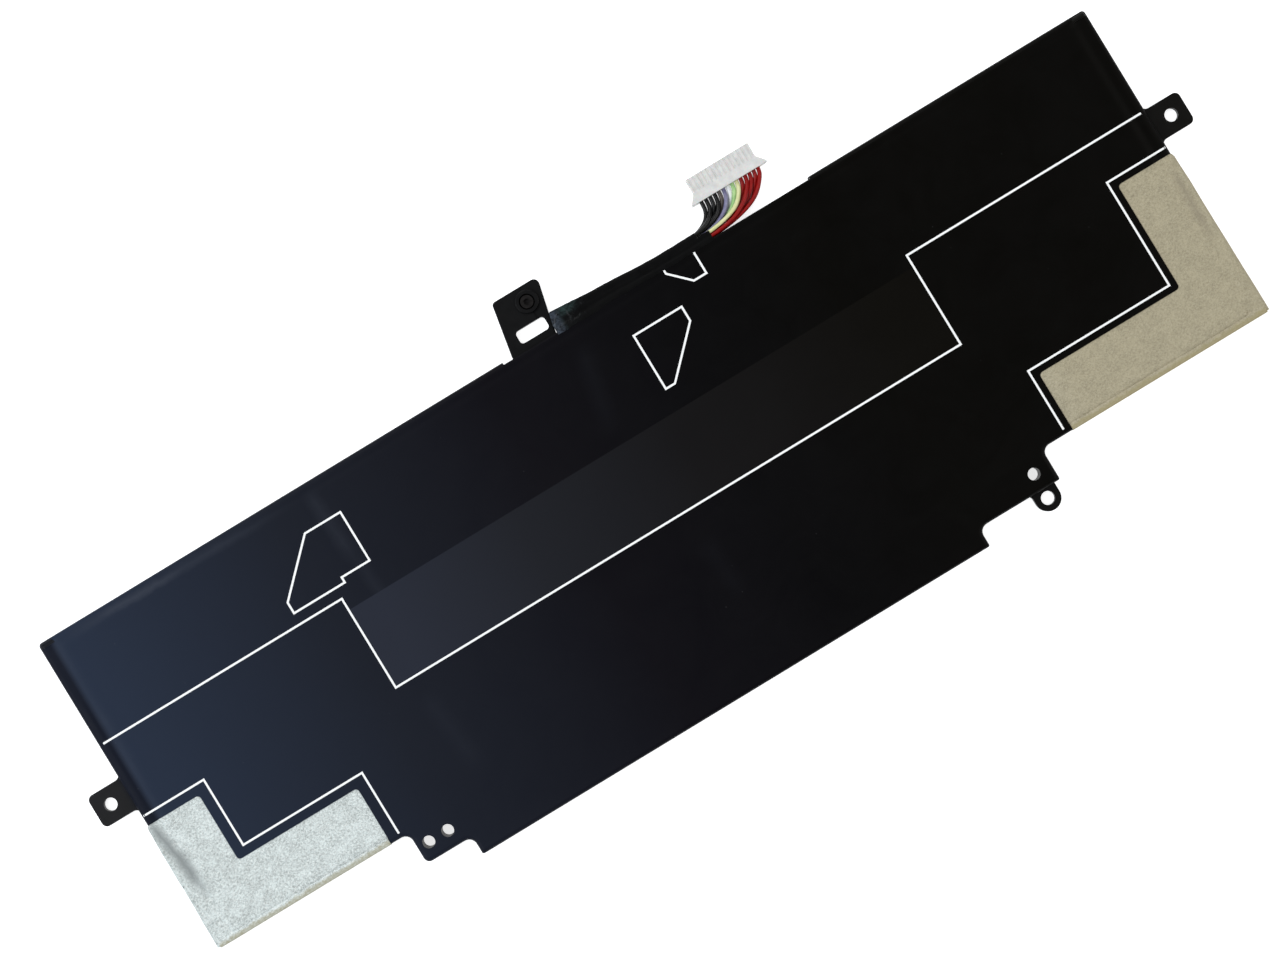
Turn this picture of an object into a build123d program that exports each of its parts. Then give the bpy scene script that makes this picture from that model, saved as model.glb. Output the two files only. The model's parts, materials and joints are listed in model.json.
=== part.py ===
from build123d import *
from math import pi, radians, tan
import os

# A flat notebook battery: four pouch cells side by side in a thin moulded frame, a circuit board
# along the lower edge, a black film over the back, and a wire harness that leaves by the upper edge.
# Places on the pack are given as x from the left edge and d down from the upper edge. The solids
# stand with the origin at the middle of the body's underside, +X along the pack, +Z up.

# Body, films and edges
body_w = 266.4
body_h = 77.0
cell_t = 4.3
film_t = 0.15
film_gap = 0.05
edge_r = 1.1
corner_r = 0.8
skirt_z = 0.3
base_z = film_t
cell_top_z = base_z + cell_t
pack_t = cell_top_z + film_t
mid_x = body_w / 2
skin_t = film_t + film_gap

# Pouch cells: each is a body with one folded side seal on its outer side
end_margin = 0.55
channel_w = 5.5
seal_w = 2.8
seal_z0 = 1.1
seal_z1 = 4.1
seal_overlap = 0.9
seal_past_end = 0.4
pair_gap = 0.3
cell_rail_gap = 0.2
cell_end_gap = 1.1
cell_corner_r = 1.3
cell_shoulder_r = 1.1
fold_t = 0.2
fold_z0 = 0.75
fold_z1 = 2.1
fold_inset = 3.0
cell_body_w = (body_w - channel_w) / 4 - (end_margin + 2 * seal_w + pair_gap) / 2
outer_cell_x = end_margin + seal_w
inner_cell_x = outer_cell_x + cell_body_w + pair_gap + seal_w
cell_d1 = body_h - cell_end_gap

# Board bay along the lower edge, with a shallower wing on each side. Its two ends count from the
# start of the inner cells
bay_past_left = 9.25
bay_short_right = 9.55
bay_depth = 12.3
left_wing_w = 11.5
right_wing_w = 20.6
wing_depth = 7.75
bay_inner_r = 1.9
wing_outer_r = 1.4
bay_outer_r = 0.4
bay_x0 = inner_cell_x - bay_past_left
bay_x1 = body_w - inner_cell_x - bay_short_right
bay_d = body_h + bay_depth
wing_x0 = bay_x0 - left_wing_w
wing_x1 = bay_x1 + right_wing_w
wing_d = body_h + wing_depth

# Windows that leave the lower corners of the outer cells bare
window_h = 14.3
window_r = 0.9
left_window_gap = 4.3
left_step_x = 13.2
left_step_h = 30.9
right_window_gap = 7.8
right_step_w = 13.7
right_step_h = 40.4
window_d = body_h - window_h
left_window_x = wing_x0 - left_window_gap
left_step_d = body_h - left_step_h
right_window_x = wing_x1 + right_window_gap
right_step_x = body_w - right_step_w
right_step_d = body_h - right_step_h

# Recess in the upper edge for the harness
recess_to_left = 14.9
recess_to_right = 63.1
recess_depth = 0.6
recess_x0 = mid_x - recess_to_left
recess_x1 = mid_x + recess_to_right

# Moulded frame
rail_t = 1.2
rail_web_t = 0.5
spine_t = 0.6
spine_gap = 0.15
cell_d0 = skin_t + rail_t + cell_rail_gap
bracket_wall_t = 0.35
bracket_base_w = 3.0
bracket_base_t = 0.85
bracket_above = 16.0
bracket_below = 7.0

# Terminal foils, link straps and the tape over the bare ends
tab_w = 5.0
tab_t = 0.15
tab_z0 = 2.3
tab_inset = 25.5
tab_pitch = 14.0
tab_reach = 3.6
strap_t = 0.15
strap_gap = 0.05
strap_z1 = 4.0
strap_foot_w = 4.0
strap_foot_gap = 1.5
strap_clear = 0.25
tape_t = 0.1
end_tape_lip = 1.5
end_tape_gap = 0.1
tab_z1 = tab_z0 + tab_t
tab_reach_d = body_h + tab_reach
strap_d0 = cell_d1 + strap_clear
strap_pitch = strap_t + strap_gap

# Mounting ears at the two ends
ear_t = 1.6
ear_reach = 8.7
ear_w = 7.8
ear_tip_r = 1.3
ear_root_r = 1.4
ear_edge_r = 0.25
ear_hole_r = 1.5
ear_hole_from_tip = 3.8
left_ear_d = 37.9
right_ear_d = 29.5

# Centre ear beside the harness exit, its x places counted from the middle of the pack
centre_ear_t = 1.8
centre_ear_top = -12.35
centre_ear_neck_d = -4.4
centre_ear_root = -12.5
centre_ear_left = -10.2
centre_ear_right = 1.4
centre_ear_neck = -0.5
centre_ear_foot = -1.4
centre_ear_r0 = 0.9
centre_ear_r1 = 1.3
ear_window_left = -9.2
ear_window_right = -2.0
ear_window_d0 = -4.3
ear_window_d1 = -1.25
ear_window_r = 0.8
ear_step = 0.35
boss_from_mid = -3.4
boss_d = -8.7
boss_r = 2.65
boss_h = 0.5
boss_bore_r = 1.75
boss_floor_t = 0.75
insert_gap = 0.05
insert_bore_r = 0.7
insert_rim = 0.25
boss_x = mid_x + boss_from_mid

# Board tray and its holes
tray_floor_t = 0.7
tray_wall_t = 0.7
tray_gap = 0.1
tray_hole_r = 1.4
tray_boss_r = 2.3
hole_below_body = 3.8
hole_from_wing_left = 2.9
hole_from_bay_left = 3.8
hole_from_wing_right = 4.4
rib_t = 0.8
rib_count = 10
rib_end_gap = 6.0
lug_from_wing_right = 4.15
lug_below_wing = 2.3
lug_r = 2.95
lug_hole_r = 1.55
lug_t = 1.6
lug_root_r = 1.2
notch_gap = 0.15
hole_d = body_h + hole_below_body
hole_x = (
    wing_x0 + hole_from_wing_left, bay_x0 - hole_from_bay_left, wing_x1 - hole_from_wing_right,
)
lug_x = wing_x1 - lug_from_wing_right
lug_d = wing_d + lug_below_wing

# Circuit board and what it carries. A chip's place is its middle, from the middle of the board
# and down from its upper edge, and its size is its width, height and thickness
board_t = 0.8
board_rib_h = 0.7
board_gap = 0.3
board_from_body = 0.9
pad_t = 0.1
pad_margin = 0.3
pad_l = 3.4
lead_t = 0.2
lead_reach = 0.8
chip_chamfer = 0.1
gauge_place = (-5.8, 6.2)
gauge_size = (9.7, 3.9, 1.1)
gauge_lead_count = 14
protector_place = (-22.8, 6.3)
protector_size = (4.4, 3.0, 0.9)
protector_lead_count = 4
fuse_place = (-38.0, 6.4)
fuse_size = (5.4, 3.2, 1.0)
switch_place = (9.0, 6.6)
switch_size = (3.4, 3.4, 0.9)
switch_pitch = 5.2
switch_count = 4
sense_place = (32.0, 6.5)
sense_size = (6.4, 3.2, 0.7)
thermistor_below = 0.9
thermistor_size = (1.6, 0.8, 0.6)
capacitor_place = (-18.0, 9.6)
capacitor_size = (1.6, 0.8, 0.8)
capacitor_pitch = 2.6
capacitor_count = 9
resistor_place = (39.5, 6.5)
resistor_size = (1.0, 0.5, 0.4)
resistor_pitch = 1.8
resistor_count = 8
board_z0 = tray_floor_t + board_rib_h
board_z1 = board_z0 + board_t
board_d0 = body_h + board_from_body

# Harness, its x places counted from the middle of the pack. The bundle runs through bundle_x and
# bundle_d. The fan's steps give how far each point stands before the wire's entry and where it is
# in d, each for the first wire and then what the last wire has more
wire_d = 0.84
wire_count = 14
wires_per_lane = 5
level_pitch = 0.85
lane_pitch = 0.88
channel_from_mid = -0.6
bend_from_mid = 4.0
bend_centre_d = 1.3
harness_d0 = 4.0
bundle_x = (8.4, 15.0, 21.4, 28.0)
bundle_d = (-1.93, -1.66, -1.10, -0.92)
fan_lane_d = -0.87
fan_lead_x = 33.4
fan_lead_step = 0.4
fan_lead_d = 0.14
fan_lane_steps = ((8.0, 4.8, 0.0, 0.0), (4.5, 3.1, -0.28, -0.57))
fan_drop_steps = ((1.65, 1.95, -3.2, 0.7), (0.3, 0.8, -5.0, -0.1))
fan_drop_left = (0.72, 0.25)
entry_straight = 0.7
sleeve_t = 0.07
sleeve_gap = 0.03
sleeve_start = 0.4
cover_t = 0.08
cover_gap = 0.06
potting_margin = 0.1
potting_l = 2.5
channel_x = mid_x + channel_from_mid
bend_centre_x = mid_x + bend_from_mid
mid_z = base_z + cell_t / 2

# Plug on the harness
pin_from_mid = 40.5
pin_pitch = 1.115
plug_end_wall = 0.65
plug_flange = 1.6
plug_front_d = -13.3
plug_shoulder_d = -9.9
plug_lip_d = -7.95
plug_rear_d = -7.6
plug_h = 3.2
plug_z0 = 0.1
plug_edge_r = 0.1
entry_gap = 0.05
entry_depth = 1.4
slot_w = 0.8
slot_h = 1.8
slot_depth = 3.8
groove_w = 0.5
groove_depth = 0.18
contact_gap = 0.08
contact_wall = 0.15
contact_setback = 0.6
pin_x0 = mid_x + pin_from_mid
plug_x0 = pin_x0 - plug_end_wall
plug_x1 = pin_x0 + (wire_count - 1) * pin_pitch + plug_end_wall
plug_z = plug_z0 + plug_h / 2

# Print on the film: a line that steps round the middle panel, one beside each window, and three
# outlines, whose x places count from panel_x0 or from the middle of the pack
line_w = 0.6
line_t = 0.03
strip_t = 0.02
strip_d0 = 28.7
print_end = 1.4
panel_x0 = 61.9
panel_from_right = 60.8
line_upper_d = 25.8
line_lower_d = 48.4
left_print_x_gap = 2.6
left_print_d_gap = 2.3
right_print_gap = 1.7
left_outline = (
    (0.5, 9.5), (9.5, 9.5), (9.5, 21.8), (2.4, 21.8), (2.4, 23.1), (-10.5, 23.1), (-10.5, 20.4),
)
middle_outline = ((12.6, 9.9), (24.8, 9.9), (24.8, 13.5), (14.9, 23.4), (12.6, 23.4))
edge_outline = ((25.6, -2.0), (25.6, 2.0), (30.05, 6.45), (33.2, 6.45), (33.2, -2.0))
panel_x1 = body_w - panel_from_right

far = body_w + body_h


def px(x):
    return x - body_w / 2


def py(d):
    return body_h / 2 - d


def rect(x0, x1, d0, d1):
    """A rectangle between two x places and two d places."""
    return Pos(px((x0 + x1) / 2), py((d0 + d1) / 2)) * Rectangle(x1 - x0, d1 - d0)


def disc(x, d, r):
    return Pos(px(x), py(d)) * Circle(r)


def rise(sketch, z0, z1):
    """A flat shape raised from z0 to z1."""
    return extrude(Pos(0, 0, z0) * sketch, amount=z1 - z0, dir=(0, 0, 1))


def block(x0, x1, d0, d1, z0, z1):
    return rise(rect(x0, x1, d0, d1), z0, z1)


def outline_face(from_x, *points):
    """The flat shape with the given corners, their x places counted from from_x."""
    return make_face(Polyline(*[(px(from_x + x), py(d)) for x, d in points], close=True))


def rounded(sketch, *corners):
    """The sketch with the corner nearest to each (x, d) rounded to r."""
    for x, d, r in corners:
        corner = sketch.vertices().sort_by_distance((px(x), py(d), 0))[0]
        sketch = fillet(corner, r)
    return sketch


def soften_top(solid, r):
    """The solid with the outer edge of its highest face rounded."""
    top = solid.faces().sort_by(Axis.Z)[-1]
    return fillet(top.outer_wire().edges(), r)


def mirrored(x):
    return body_w - x


def save(node, shape):
    solids = list(shape.solids()) if not isinstance(shape, list) else shape
    piece = solids[0] if len(solids) == 1 else Compound(children=solids)
    export_step(piece, f"parts/{node}.step")


# Outline of the film and of what lies inside it
def pack_outline():
    shape = rect(0, body_w, 0, body_h)
    shape += rect(bay_x0, bay_x1, body_h - 1, bay_d)
    shape += rect(wing_x0, wing_x1, body_h - 1, wing_d)
    return rounded(
        shape,
        (0, 0, corner_r), (body_w, 0, corner_r), (0, body_h, corner_r), (body_w, body_h, corner_r),
        (wing_x0, body_h, bay_inner_r), (wing_x1, body_h, bay_inner_r),
        (wing_x0, wing_d, wing_outer_r), (wing_x1, wing_d, bay_outer_r),
        (bay_x0, wing_d, bay_inner_r), (bay_x1, wing_d, bay_inner_r),
        (bay_x0, bay_d, bay_outer_r), (bay_x1, bay_d, bay_outer_r),
    )


def envelope(outline):
    """The room inside the film, which the moulded frame fills up to its edge."""
    inside = offset(outline, amount=-skin_t, kind=Kind.INTERSECTION)
    return soften_top(rise(inside, 0, cell_top_z), edge_r - film_t)


def corner_windows():
    """The stepped openings in the film over the lower corners."""
    left = rect(-far, left_window_x, window_d, far) + rect(-far, left_step_x, left_step_d, far)
    left = rounded(
        left,
        (left_step_x, left_step_d, window_r),
        (left_step_x, window_d, window_r),
        (left_window_x, window_d, window_r),
    )
    right = rect(right_window_x, far, window_d, far) + rect(right_step_x, far, right_step_d, far)
    right = rounded(
        right,
        (right_step_x, right_step_d, window_r),
        (right_step_x, window_d, window_r),
        (right_window_x, window_d, window_r),
    )
    return left + right


def back_film(outline):
    """The black film over the back, turned down at its edges."""
    skin = soften_top(rise(outline, skirt_z, pack_t), edge_r)
    inside = offset(outline, amount=-film_t, kind=Kind.INTERSECTION)
    skin -= soften_top(rise(inside, skirt_z - 1, pack_t - film_t), edge_r - film_t)
    skin -= rise(corner_windows(), -1, pack_t + 1)
    skin -= block(recess_x0, recess_x1, -1, recess_depth, -1, pack_t + 1)
    for x in hole_x:
        skin -= rise(disc(x, hole_d, tray_hole_r), -1, pack_t + 1)
    ear_half = ear_w / 2 + ear_root_r + notch_gap
    for x, d in ((0, left_ear_d), (body_w, right_ear_d)):
        skin -= block(x - 1, x + 1, d - ear_half, d + ear_half, -1, base_z + ear_t + notch_gap)
    lug_half = lug_r + lug_root_r + notch_gap
    skin -= block(lug_x - lug_half, lug_x + lug_half, wing_d - 1, wing_d + 1, -1, lug_t + notch_gap)
    return skin


def front_film():
    sheet = rect(film_gap, body_w - film_gap, film_gap, body_h - film_gap)
    for x in (0, body_w):
        for d in (0, body_h):
            sheet = rounded(sheet, (x, d, corner_r))
    sheet -= rect(recess_x0, recess_x1, -1, recess_depth)
    return rise(sheet, 0, film_t)


# Pouch cells
def cell_start(index):
    """x of the body's left side for the cells 0 to 3, the right pair mirrored."""
    if index < 2:
        return (outer_cell_x, inner_cell_x)[index]
    return mirrored(cell_start(3 - index)) - cell_body_w


def pouch_cell(index):
    x0 = cell_start(index)
    x1 = x0 + cell_body_w
    body = block(x0, x1, cell_d0, cell_d1, base_z, cell_top_z)
    body = fillet(body.edges().filter_by(Axis.Z), cell_corner_r)
    for end in (0, -1):
        body = fillet(body.faces().sort_by(Axis.Z)[end].edges(), cell_shoulder_r)
    seal_on_left = index < 2
    seal_x0 = x0 - seal_w if seal_on_left else x1 - seal_overlap
    seal_d1 = cell_d1 + seal_past_end if index in (0, 3) else cell_d1 - cell_corner_r
    seal = block(
        seal_x0, seal_x0 + seal_w + seal_overlap, cell_d0 + cell_corner_r, seal_d1, seal_z0, seal_z1,
    )
    side = seal.faces().sort_by(Axis.X)[0 if seal_on_left else -1]
    seal = fillet(side.edges().filter_by(Axis.Y), cell_shoulder_r)
    fold = block(x0 + fold_inset, x1 - fold_inset, cell_d1 - 1, cell_d1 + fold_t, fold_z0, fold_z1)
    return body + seal + fold


def tab_places(index):
    """x of the middle of each of a cell's two foils, the one nearer to its seal first."""
    steps = (tab_inset, tab_inset + tab_pitch)
    if index < 2:
        return [cell_start(index) + step for step in steps]
    return [cell_start(index) + cell_body_w - step for step in steps]


def foil(index, which):
    """One terminal foil: onto the board for the inner cells, up to a strap for the outer ones."""
    x = tab_places(index)[which]
    if index in (1, 2):
        end = tab_reach_d
    else:
        end = strap_d0 + strap_t + (strap_pitch if which == 0 else 0)
    return block(x - tab_w / 2, x + tab_w / 2, cell_d1, end, tab_z0, tab_z1)


def strap_feet(index):
    """x of the start of each strap's foot on the board, the outer strap's foot first."""
    first = skin_t + tray_wall_t + board_gap + strap_foot_gap
    steps = (first, first + strap_foot_w + strap_foot_gap)
    if index == 0:
        return [bay_x0 + step for step in steps]
    return [bay_x1 - step - strap_foot_w for step in steps]


def link_strap(index, which):
    """A strap on edge along an outer cell's end, with a flat foot on the board."""
    x_tab = tab_places(index)[which]
    x_foot = strap_feet(index)[which]
    d0 = strap_d0 + (strap_pitch if which == 0 else 0)
    ends = (x_tab - tab_w / 2, x_foot + strap_foot_w)
    if index == 3:
        ends = (x_foot, x_tab + tab_w / 2)
    rail = block(ends[0], ends[1], d0, d0 + strap_t, tab_z1, strap_z1)
    foot = block(x_foot, x_foot + strap_foot_w, d0, tab_reach_d, tab_z0, tab_z1)
    return rail + foot


def end_tape(x0, x1):
    """The tan tape folded over the bare end of an outer cell."""
    d1 = body_h - film_t
    d0 = d1 - end_tape_lip - tape_t
    outer = block(x0, x1, d0, d1, base_z + tape_t, cell_top_z + tape_t / 2)
    outer = fillet(outer.faces().sort_by(Axis.Y)[0].edges().filter_by(Axis.X), 2 * tape_t)
    inner = block(x0 - 1, x1 + 1, d0 - 1, d1 - tape_t, base_z - 1, cell_top_z - tape_t / 2)
    tape = outer - inner
    return tape - pouch_cell(0) - pouch_cell(3)


# Moulded frame
def top_rail_part(left, room):
    """Upper rail of one side, with the web behind the harness and the wall beside the channel."""
    d1 = skin_t + rail_t
    wall_x = cell_start(1) + cell_body_w + spine_gap
    rail = block(0, recess_x0 - notch_gap, 0, d1, base_z, cell_top_z)
    web_x1 = wall_x + spine_t
    if not left:
        wall_x = mirrored(wall_x) - spine_t
        rail = block(recess_x1 + notch_gap, body_w, 0, d1, base_z, cell_top_z)
    web_ends = (recess_x0 - 1, web_x1) if left else (wall_x, recess_x1 + 1)
    web = block(*web_ends, d1 - rail_web_t, d1, base_z, cell_top_z)
    wall = block(wall_x, wall_x + spine_t, d1 - rail_web_t, body_h, base_z, cell_top_z)
    return (rail + web + wall) & room


def centre_ear():
    """The ear beside the harness exit: a holed plate with a ring boss and a window."""
    root_d = skin_t + rail_t
    plate = outline_face(
        mid_x,
        (centre_ear_root, root_d), (centre_ear_root, 0), (centre_ear_left, centre_ear_top),
        (centre_ear_right, centre_ear_top), (centre_ear_neck, centre_ear_neck_d),
        (centre_ear_foot, 0), (centre_ear_foot, root_d),
    )
    plate = rounded(
        plate,
        (mid_x + centre_ear_left, centre_ear_top, centre_ear_r0),
        (mid_x + centre_ear_right, centre_ear_top, centre_ear_r1),
        (mid_x + centre_ear_neck, centre_ear_neck_d, centre_ear_r0),
    )
    window_x = (mid_x + ear_window_left, mid_x + ear_window_right)
    hole = rect(*window_x, ear_window_d0, ear_window_d1)
    for x in window_x:
        for d in (ear_window_d0, ear_window_d1):
            hole = rounded(hole, (x, d, ear_window_r))
    top_z = base_z + centre_ear_t
    ear = soften_top(rise(plate - hole, base_z, top_z), ear_edge_r)
    ear -= block(boss_x, far, centre_ear_top - 1, ear_window_d0, top_z - ear_step, top_z + 1)
    ear += soften_top(rise(disc(boss_x, boss_d, boss_r), base_z, top_z + boss_h), ear_edge_r)
    ear -= rise(disc(boss_x, boss_d, boss_bore_r), base_z + boss_floor_t, top_z + boss_h + 1)
    return ear


def left_rail(room):
    return top_rail_part(True, room) + centre_ear()


def ear_insert():
    """The tapped insert pressed into the centre ear's boss."""
    z0 = base_z + boss_floor_t
    z1 = base_z + centre_ear_t + boss_h - insert_rim
    insert = rise(disc(boss_x, boss_d, boss_bore_r - insert_gap), z0, z1)
    insert = chamfer(insert.edges().sort_by(Axis.Z)[-1], insert_rim)
    return insert - rise(disc(boss_x, boss_d, insert_bore_r), z0 + insert_rim, z1 + 1)


def end_bracket(left):
    """An L-shaped strip beside the outer cell, with the mounting ear on it."""
    ear_d = left_ear_d if left else right_ear_d
    x0 = skin_t
    d0, d1 = ear_d - bracket_above, ear_d + bracket_below
    shape = block(x0, x0 + bracket_base_w, d0, d1, base_z, base_z + bracket_base_t)
    shape += block(x0, x0 + bracket_wall_t, d0, d1, base_z, cell_top_z - edge_r)
    half = ear_w / 2
    root = half + ear_root_r + film_gap
    ear = rect(-ear_reach, 0, ear_d - half, ear_d + half)
    ear += rect(0, x0 + bracket_wall_t, ear_d - root, ear_d + root)
    ear = rounded(
        ear,
        (-ear_reach, ear_d - half, ear_tip_r), (-ear_reach, ear_d + half, ear_tip_r),
        (0, ear_d - half, ear_root_r), (0, ear_d + half, ear_root_r),
    )
    ear -= disc(-ear_reach + ear_hole_from_tip, ear_d, ear_hole_r)
    shape += rise(ear, base_z, base_z + ear_t)
    if left:
        return shape
    return mirror(shape, about=Plane.YZ)


def tray_ribs():
    """The ribs in the tray that the board lies on."""
    rib_x0 = bay_x0 + rib_end_gap
    step = (bay_x1 - bay_x0 - 2 * rib_end_gap) / (rib_count - 1)
    rib_d1 = bay_d - skin_t - tray_wall_t / 2
    places = [rib_x0 + i * step for i in range(rib_count)]
    z0 = tray_floor_t / 2
    return [block(x - rib_t / 2, x + rib_t / 2, board_d0, rib_d1, z0, board_z0) for x in places]


def board_tray(outline, room):
    """The tray round the board, with bored bosses in its wings and a mounting lug."""
    front = body_h + tray_gap
    outer = rect(0, body_w, front, far)
    inner = offset(outline, amount=-(skin_t + tray_wall_t), kind=Kind.INTERSECTION)
    inner &= rect(0, body_w, front - 1, far)
    tray = room & rise(outer, 0, cell_top_z)
    tray -= rise(inner, tray_floor_t, cell_top_z + 1)
    for rib in tray_ribs():
        tray += rib
    for x in hole_x:
        tray += rise(disc(x, hole_d, tray_boss_r), 0, cell_top_z) & room
    lug = disc(lug_x, lug_d, lug_r)
    neck_d = wing_d - skin_t
    lug += rect(lug_x - lug_r, lug_x + lug_r, neck_d - tray_wall_t / 2, lug_d)
    root = rect(lug_x - lug_r - lug_root_r, lug_x, neck_d - tray_wall_t / 2, neck_d + lug_root_r)
    root -= disc(lug_x - lug_r - lug_root_r, neck_d + lug_root_r, lug_root_r)
    tray += rise(lug + root, 0, lug_t)
    tray -= rise(disc(lug_x, lug_d, lug_hole_r), -1, lug_t + 1)
    for x in hole_x:
        tray -= rise(disc(x, hole_d, tray_hole_r), -1, cell_top_z + 1)
    return tray


# Circuit board
def board_span():
    """x of the board's two ends and d of its lower edge."""
    inset = skin_t + tray_wall_t + board_gap
    return bay_x0 + inset, bay_x1 - inset, bay_d - inset


def circuit_board():
    x0, x1, d1 = board_span()
    return block(x0, x1, board_d0, d1, board_z0, board_z1)


def pad_spans():
    """The x span of every foil and strap foot that is welded to the board."""
    spans = []
    for index in (0, 3):
        for start in strap_feet(index):
            spans.append((start, start + strap_foot_w))
    for index in (1, 2):
        for x in tab_places(index):
            spans.append((x - tab_w / 2, x + tab_w / 2))
    return spans


def weld_pads():
    pads = []
    for x0, x1 in pad_spans():
        d1 = tab_reach_d + pad_margin
        pads.append(block(x0 - pad_margin, x1 + pad_margin, d1 - pad_l, d1, board_z1, board_z1 + pad_t))
    return pads


def chip(x, d, size, leads=0):
    """A chip package on the board, with a row of leads on its upper and lower sides."""
    w, h, t = size
    body = block(x - w / 2, x + w / 2, d - h / 2, d + h / 2, board_z1, board_z1 + t)
    body = chamfer(body.faces().sort_by(Axis.Z)[-1].edges(), chip_chamfer)
    reach = h / 2 + lead_reach
    for i in range(leads):
        lead_x = x - w / 2 + (i + 0.5) * w / leads
        half = w / (4 * leads)
        body += block(lead_x - half, lead_x + half, d - reach, d + reach, board_z1, board_z1 + lead_t)
    return body


def chip_row(place, size, pitch=0.0, count=1, leads=0):
    """Like chips side by side, the first at its place on the board."""
    board_x0, board_x1, _ = board_span()
    x = (board_x0 + board_x1) / 2 + place[0]
    return [chip(x + i * pitch, board_d0 + place[1], size, leads) for i in range(count)]


def thermistors():
    """One between the two foils of each inner cell."""
    places = [sum(tab_places(index)) / 2 for index in (1, 2)]
    return [chip(x, board_d0 + thermistor_below, thermistor_size) for x in places]


def wire_potting():
    """The bead of compound over the wires' joints on the board."""
    margin = wire_d / 2 + potting_margin
    x0 = channel_x - margin
    x1 = channel_x + 2 * lane_pitch + margin
    top = mid_z + 2 * level_pitch + wire_d / 2
    bead = block(x0, x1, body_h, board_d0 + potting_l, tray_floor_t, top)
    for solid in (circuit_board(), *tray_ribs()):
        bead -= solid
    return bead


# Harness
wire_colours = (
    "black_1", "black_2", "black_3", "black_4", "brown", "violet", "white",
    "green", "yellow", "red_1", "red_2", "red_3", "red_4", "red_5",
)
wire_levels = (2, 4, 1, 3, 0, 3, 0, 2, 4, 1, 4, 2, 0, 3)


def wire_place(index):
    """The lane and the height of a wire in the bundle."""
    lane = index // wires_per_lane
    return lane, mid_z + (wire_levels[index] - 2) * level_pitch


def bundle_points(lane, z):
    """The stretch from the channel to the end of the sleeve."""
    r = bend_centre_x - channel_x - lane * lane_pitch
    cut = r * tan(pi / 8)
    shift = (lane - 1) * lane_pitch
    points = [
        (bend_centre_x - r, harness_d0, z),
        (bend_centre_x - r, bend_centre_d - cut, z),
        (bend_centre_x - cut, bend_centre_d - r, z),
    ]
    return points + [(mid_x + x, d + shift, z) for x, d in zip(bundle_x, bundle_d)]


def fan_points(index, z):
    """The stretch from the sleeve to the plug, opening out to one wire per entry."""
    lane = index // wires_per_lane
    share = index / (wire_count - 1)
    x = pin_x0 + index * pin_pitch
    lane_d = fan_lane_d + (lane - 1) * lane_pitch
    drop = z - plug_z
    points = []
    if lane > 0:
        points.append((mid_x + fan_lead_x + fan_lead_step * lane, lane_d + fan_lead_d, z))
    for back, back_more, d, d_more in fan_lane_steps:
        points.append((x - back - back_more * share, lane_d + d + d_more * share, z))
    for (back, back_more, d, d_more), left in zip(fan_drop_steps, fan_drop_left):
        points.append((x - back - back_more * share, d + d_more * share, plug_z + left * drop))
    points.append((x, plug_rear_d + entry_straight, plug_z))
    points.append((x, plug_rear_d - entry_depth, plug_z))
    return points


def route(index):
    lane, z = wire_place(index)
    points = bundle_points(lane, z) + fan_points(index, z)
    return [Vector(px(x), py(d), height) for x, d, height in points]


def arc_radii(points):
    """The largest arc that each corner of a route has room for."""
    radii = []
    for before, here, after in zip(points, points[1:], points[2:]):
        turn = (here - before).get_angle(after - here)
        run = min((here - before).length, (after - here).length)
        radii.append(0.45 * run / tan(radians(turn / 2)))
    return radii


def tube(points, radii, section_r):
    path = FilletPolyline(*points, radius=radii)
    start = Plane(origin=points[0], z_dir=points[1] - points[0])
    return sweep(start * Circle(section_r), path=path), path.length


def harness_sleeve():
    """Black tape wound round the bundle along the upper edge."""
    full = [Vector(px(x), py(d), z) for x, d, z in bundle_points(1, mid_z)]
    points = [full[2] + (full[3] - full[2]) * sleeve_start, *full[3:]]
    path = FilletPolyline(*points, radius=arc_radii(full)[2:])
    start = Plane(origin=points[0], z_dir=points[1] - points[0], x_dir=(0, 0, 1))
    tall = 4 * level_pitch + wire_d + 2 * sleeve_gap
    wide = 2 * lane_pitch + wire_d + 2 * sleeve_gap
    outer = RectangleRounded(tall + 2 * sleeve_t, wide + 2 * sleeve_t, wire_d / 2)
    inner = RectangleRounded(tall, wide, wire_d / 2 - sleeve_t)
    return sweep(start * (outer - inner), path=path)


def exit_cover():
    """The clear tape over the bend where the harness leaves the body."""
    r0 = bend_centre_x - channel_x + wire_d / 2 + cover_gap
    hub = (bend_centre_x, bend_centre_d)
    quarter = rect(hub[0] - far, hub[0], -far, recess_depth - cover_gap)
    flap = (disc(*hub, r0 + cover_t) - disc(*hub, r0)) & quarter
    inner_r = r0 - 2 * lane_pitch - wire_d - cover_gap
    top = (disc(*hub, r0 + cover_t) - disc(*hub, inner_r)) & quarter
    z1 = mid_z + 2 * level_pitch + wire_d / 2 + cover_gap / 2
    return rise(flap, base_z + wire_d, z1 + cover_t) + rise(top, z1, z1 + cover_t)


# Plug
def pin_places():
    return [pin_x0 + i * pin_pitch for i in range(wire_count)]


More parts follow.
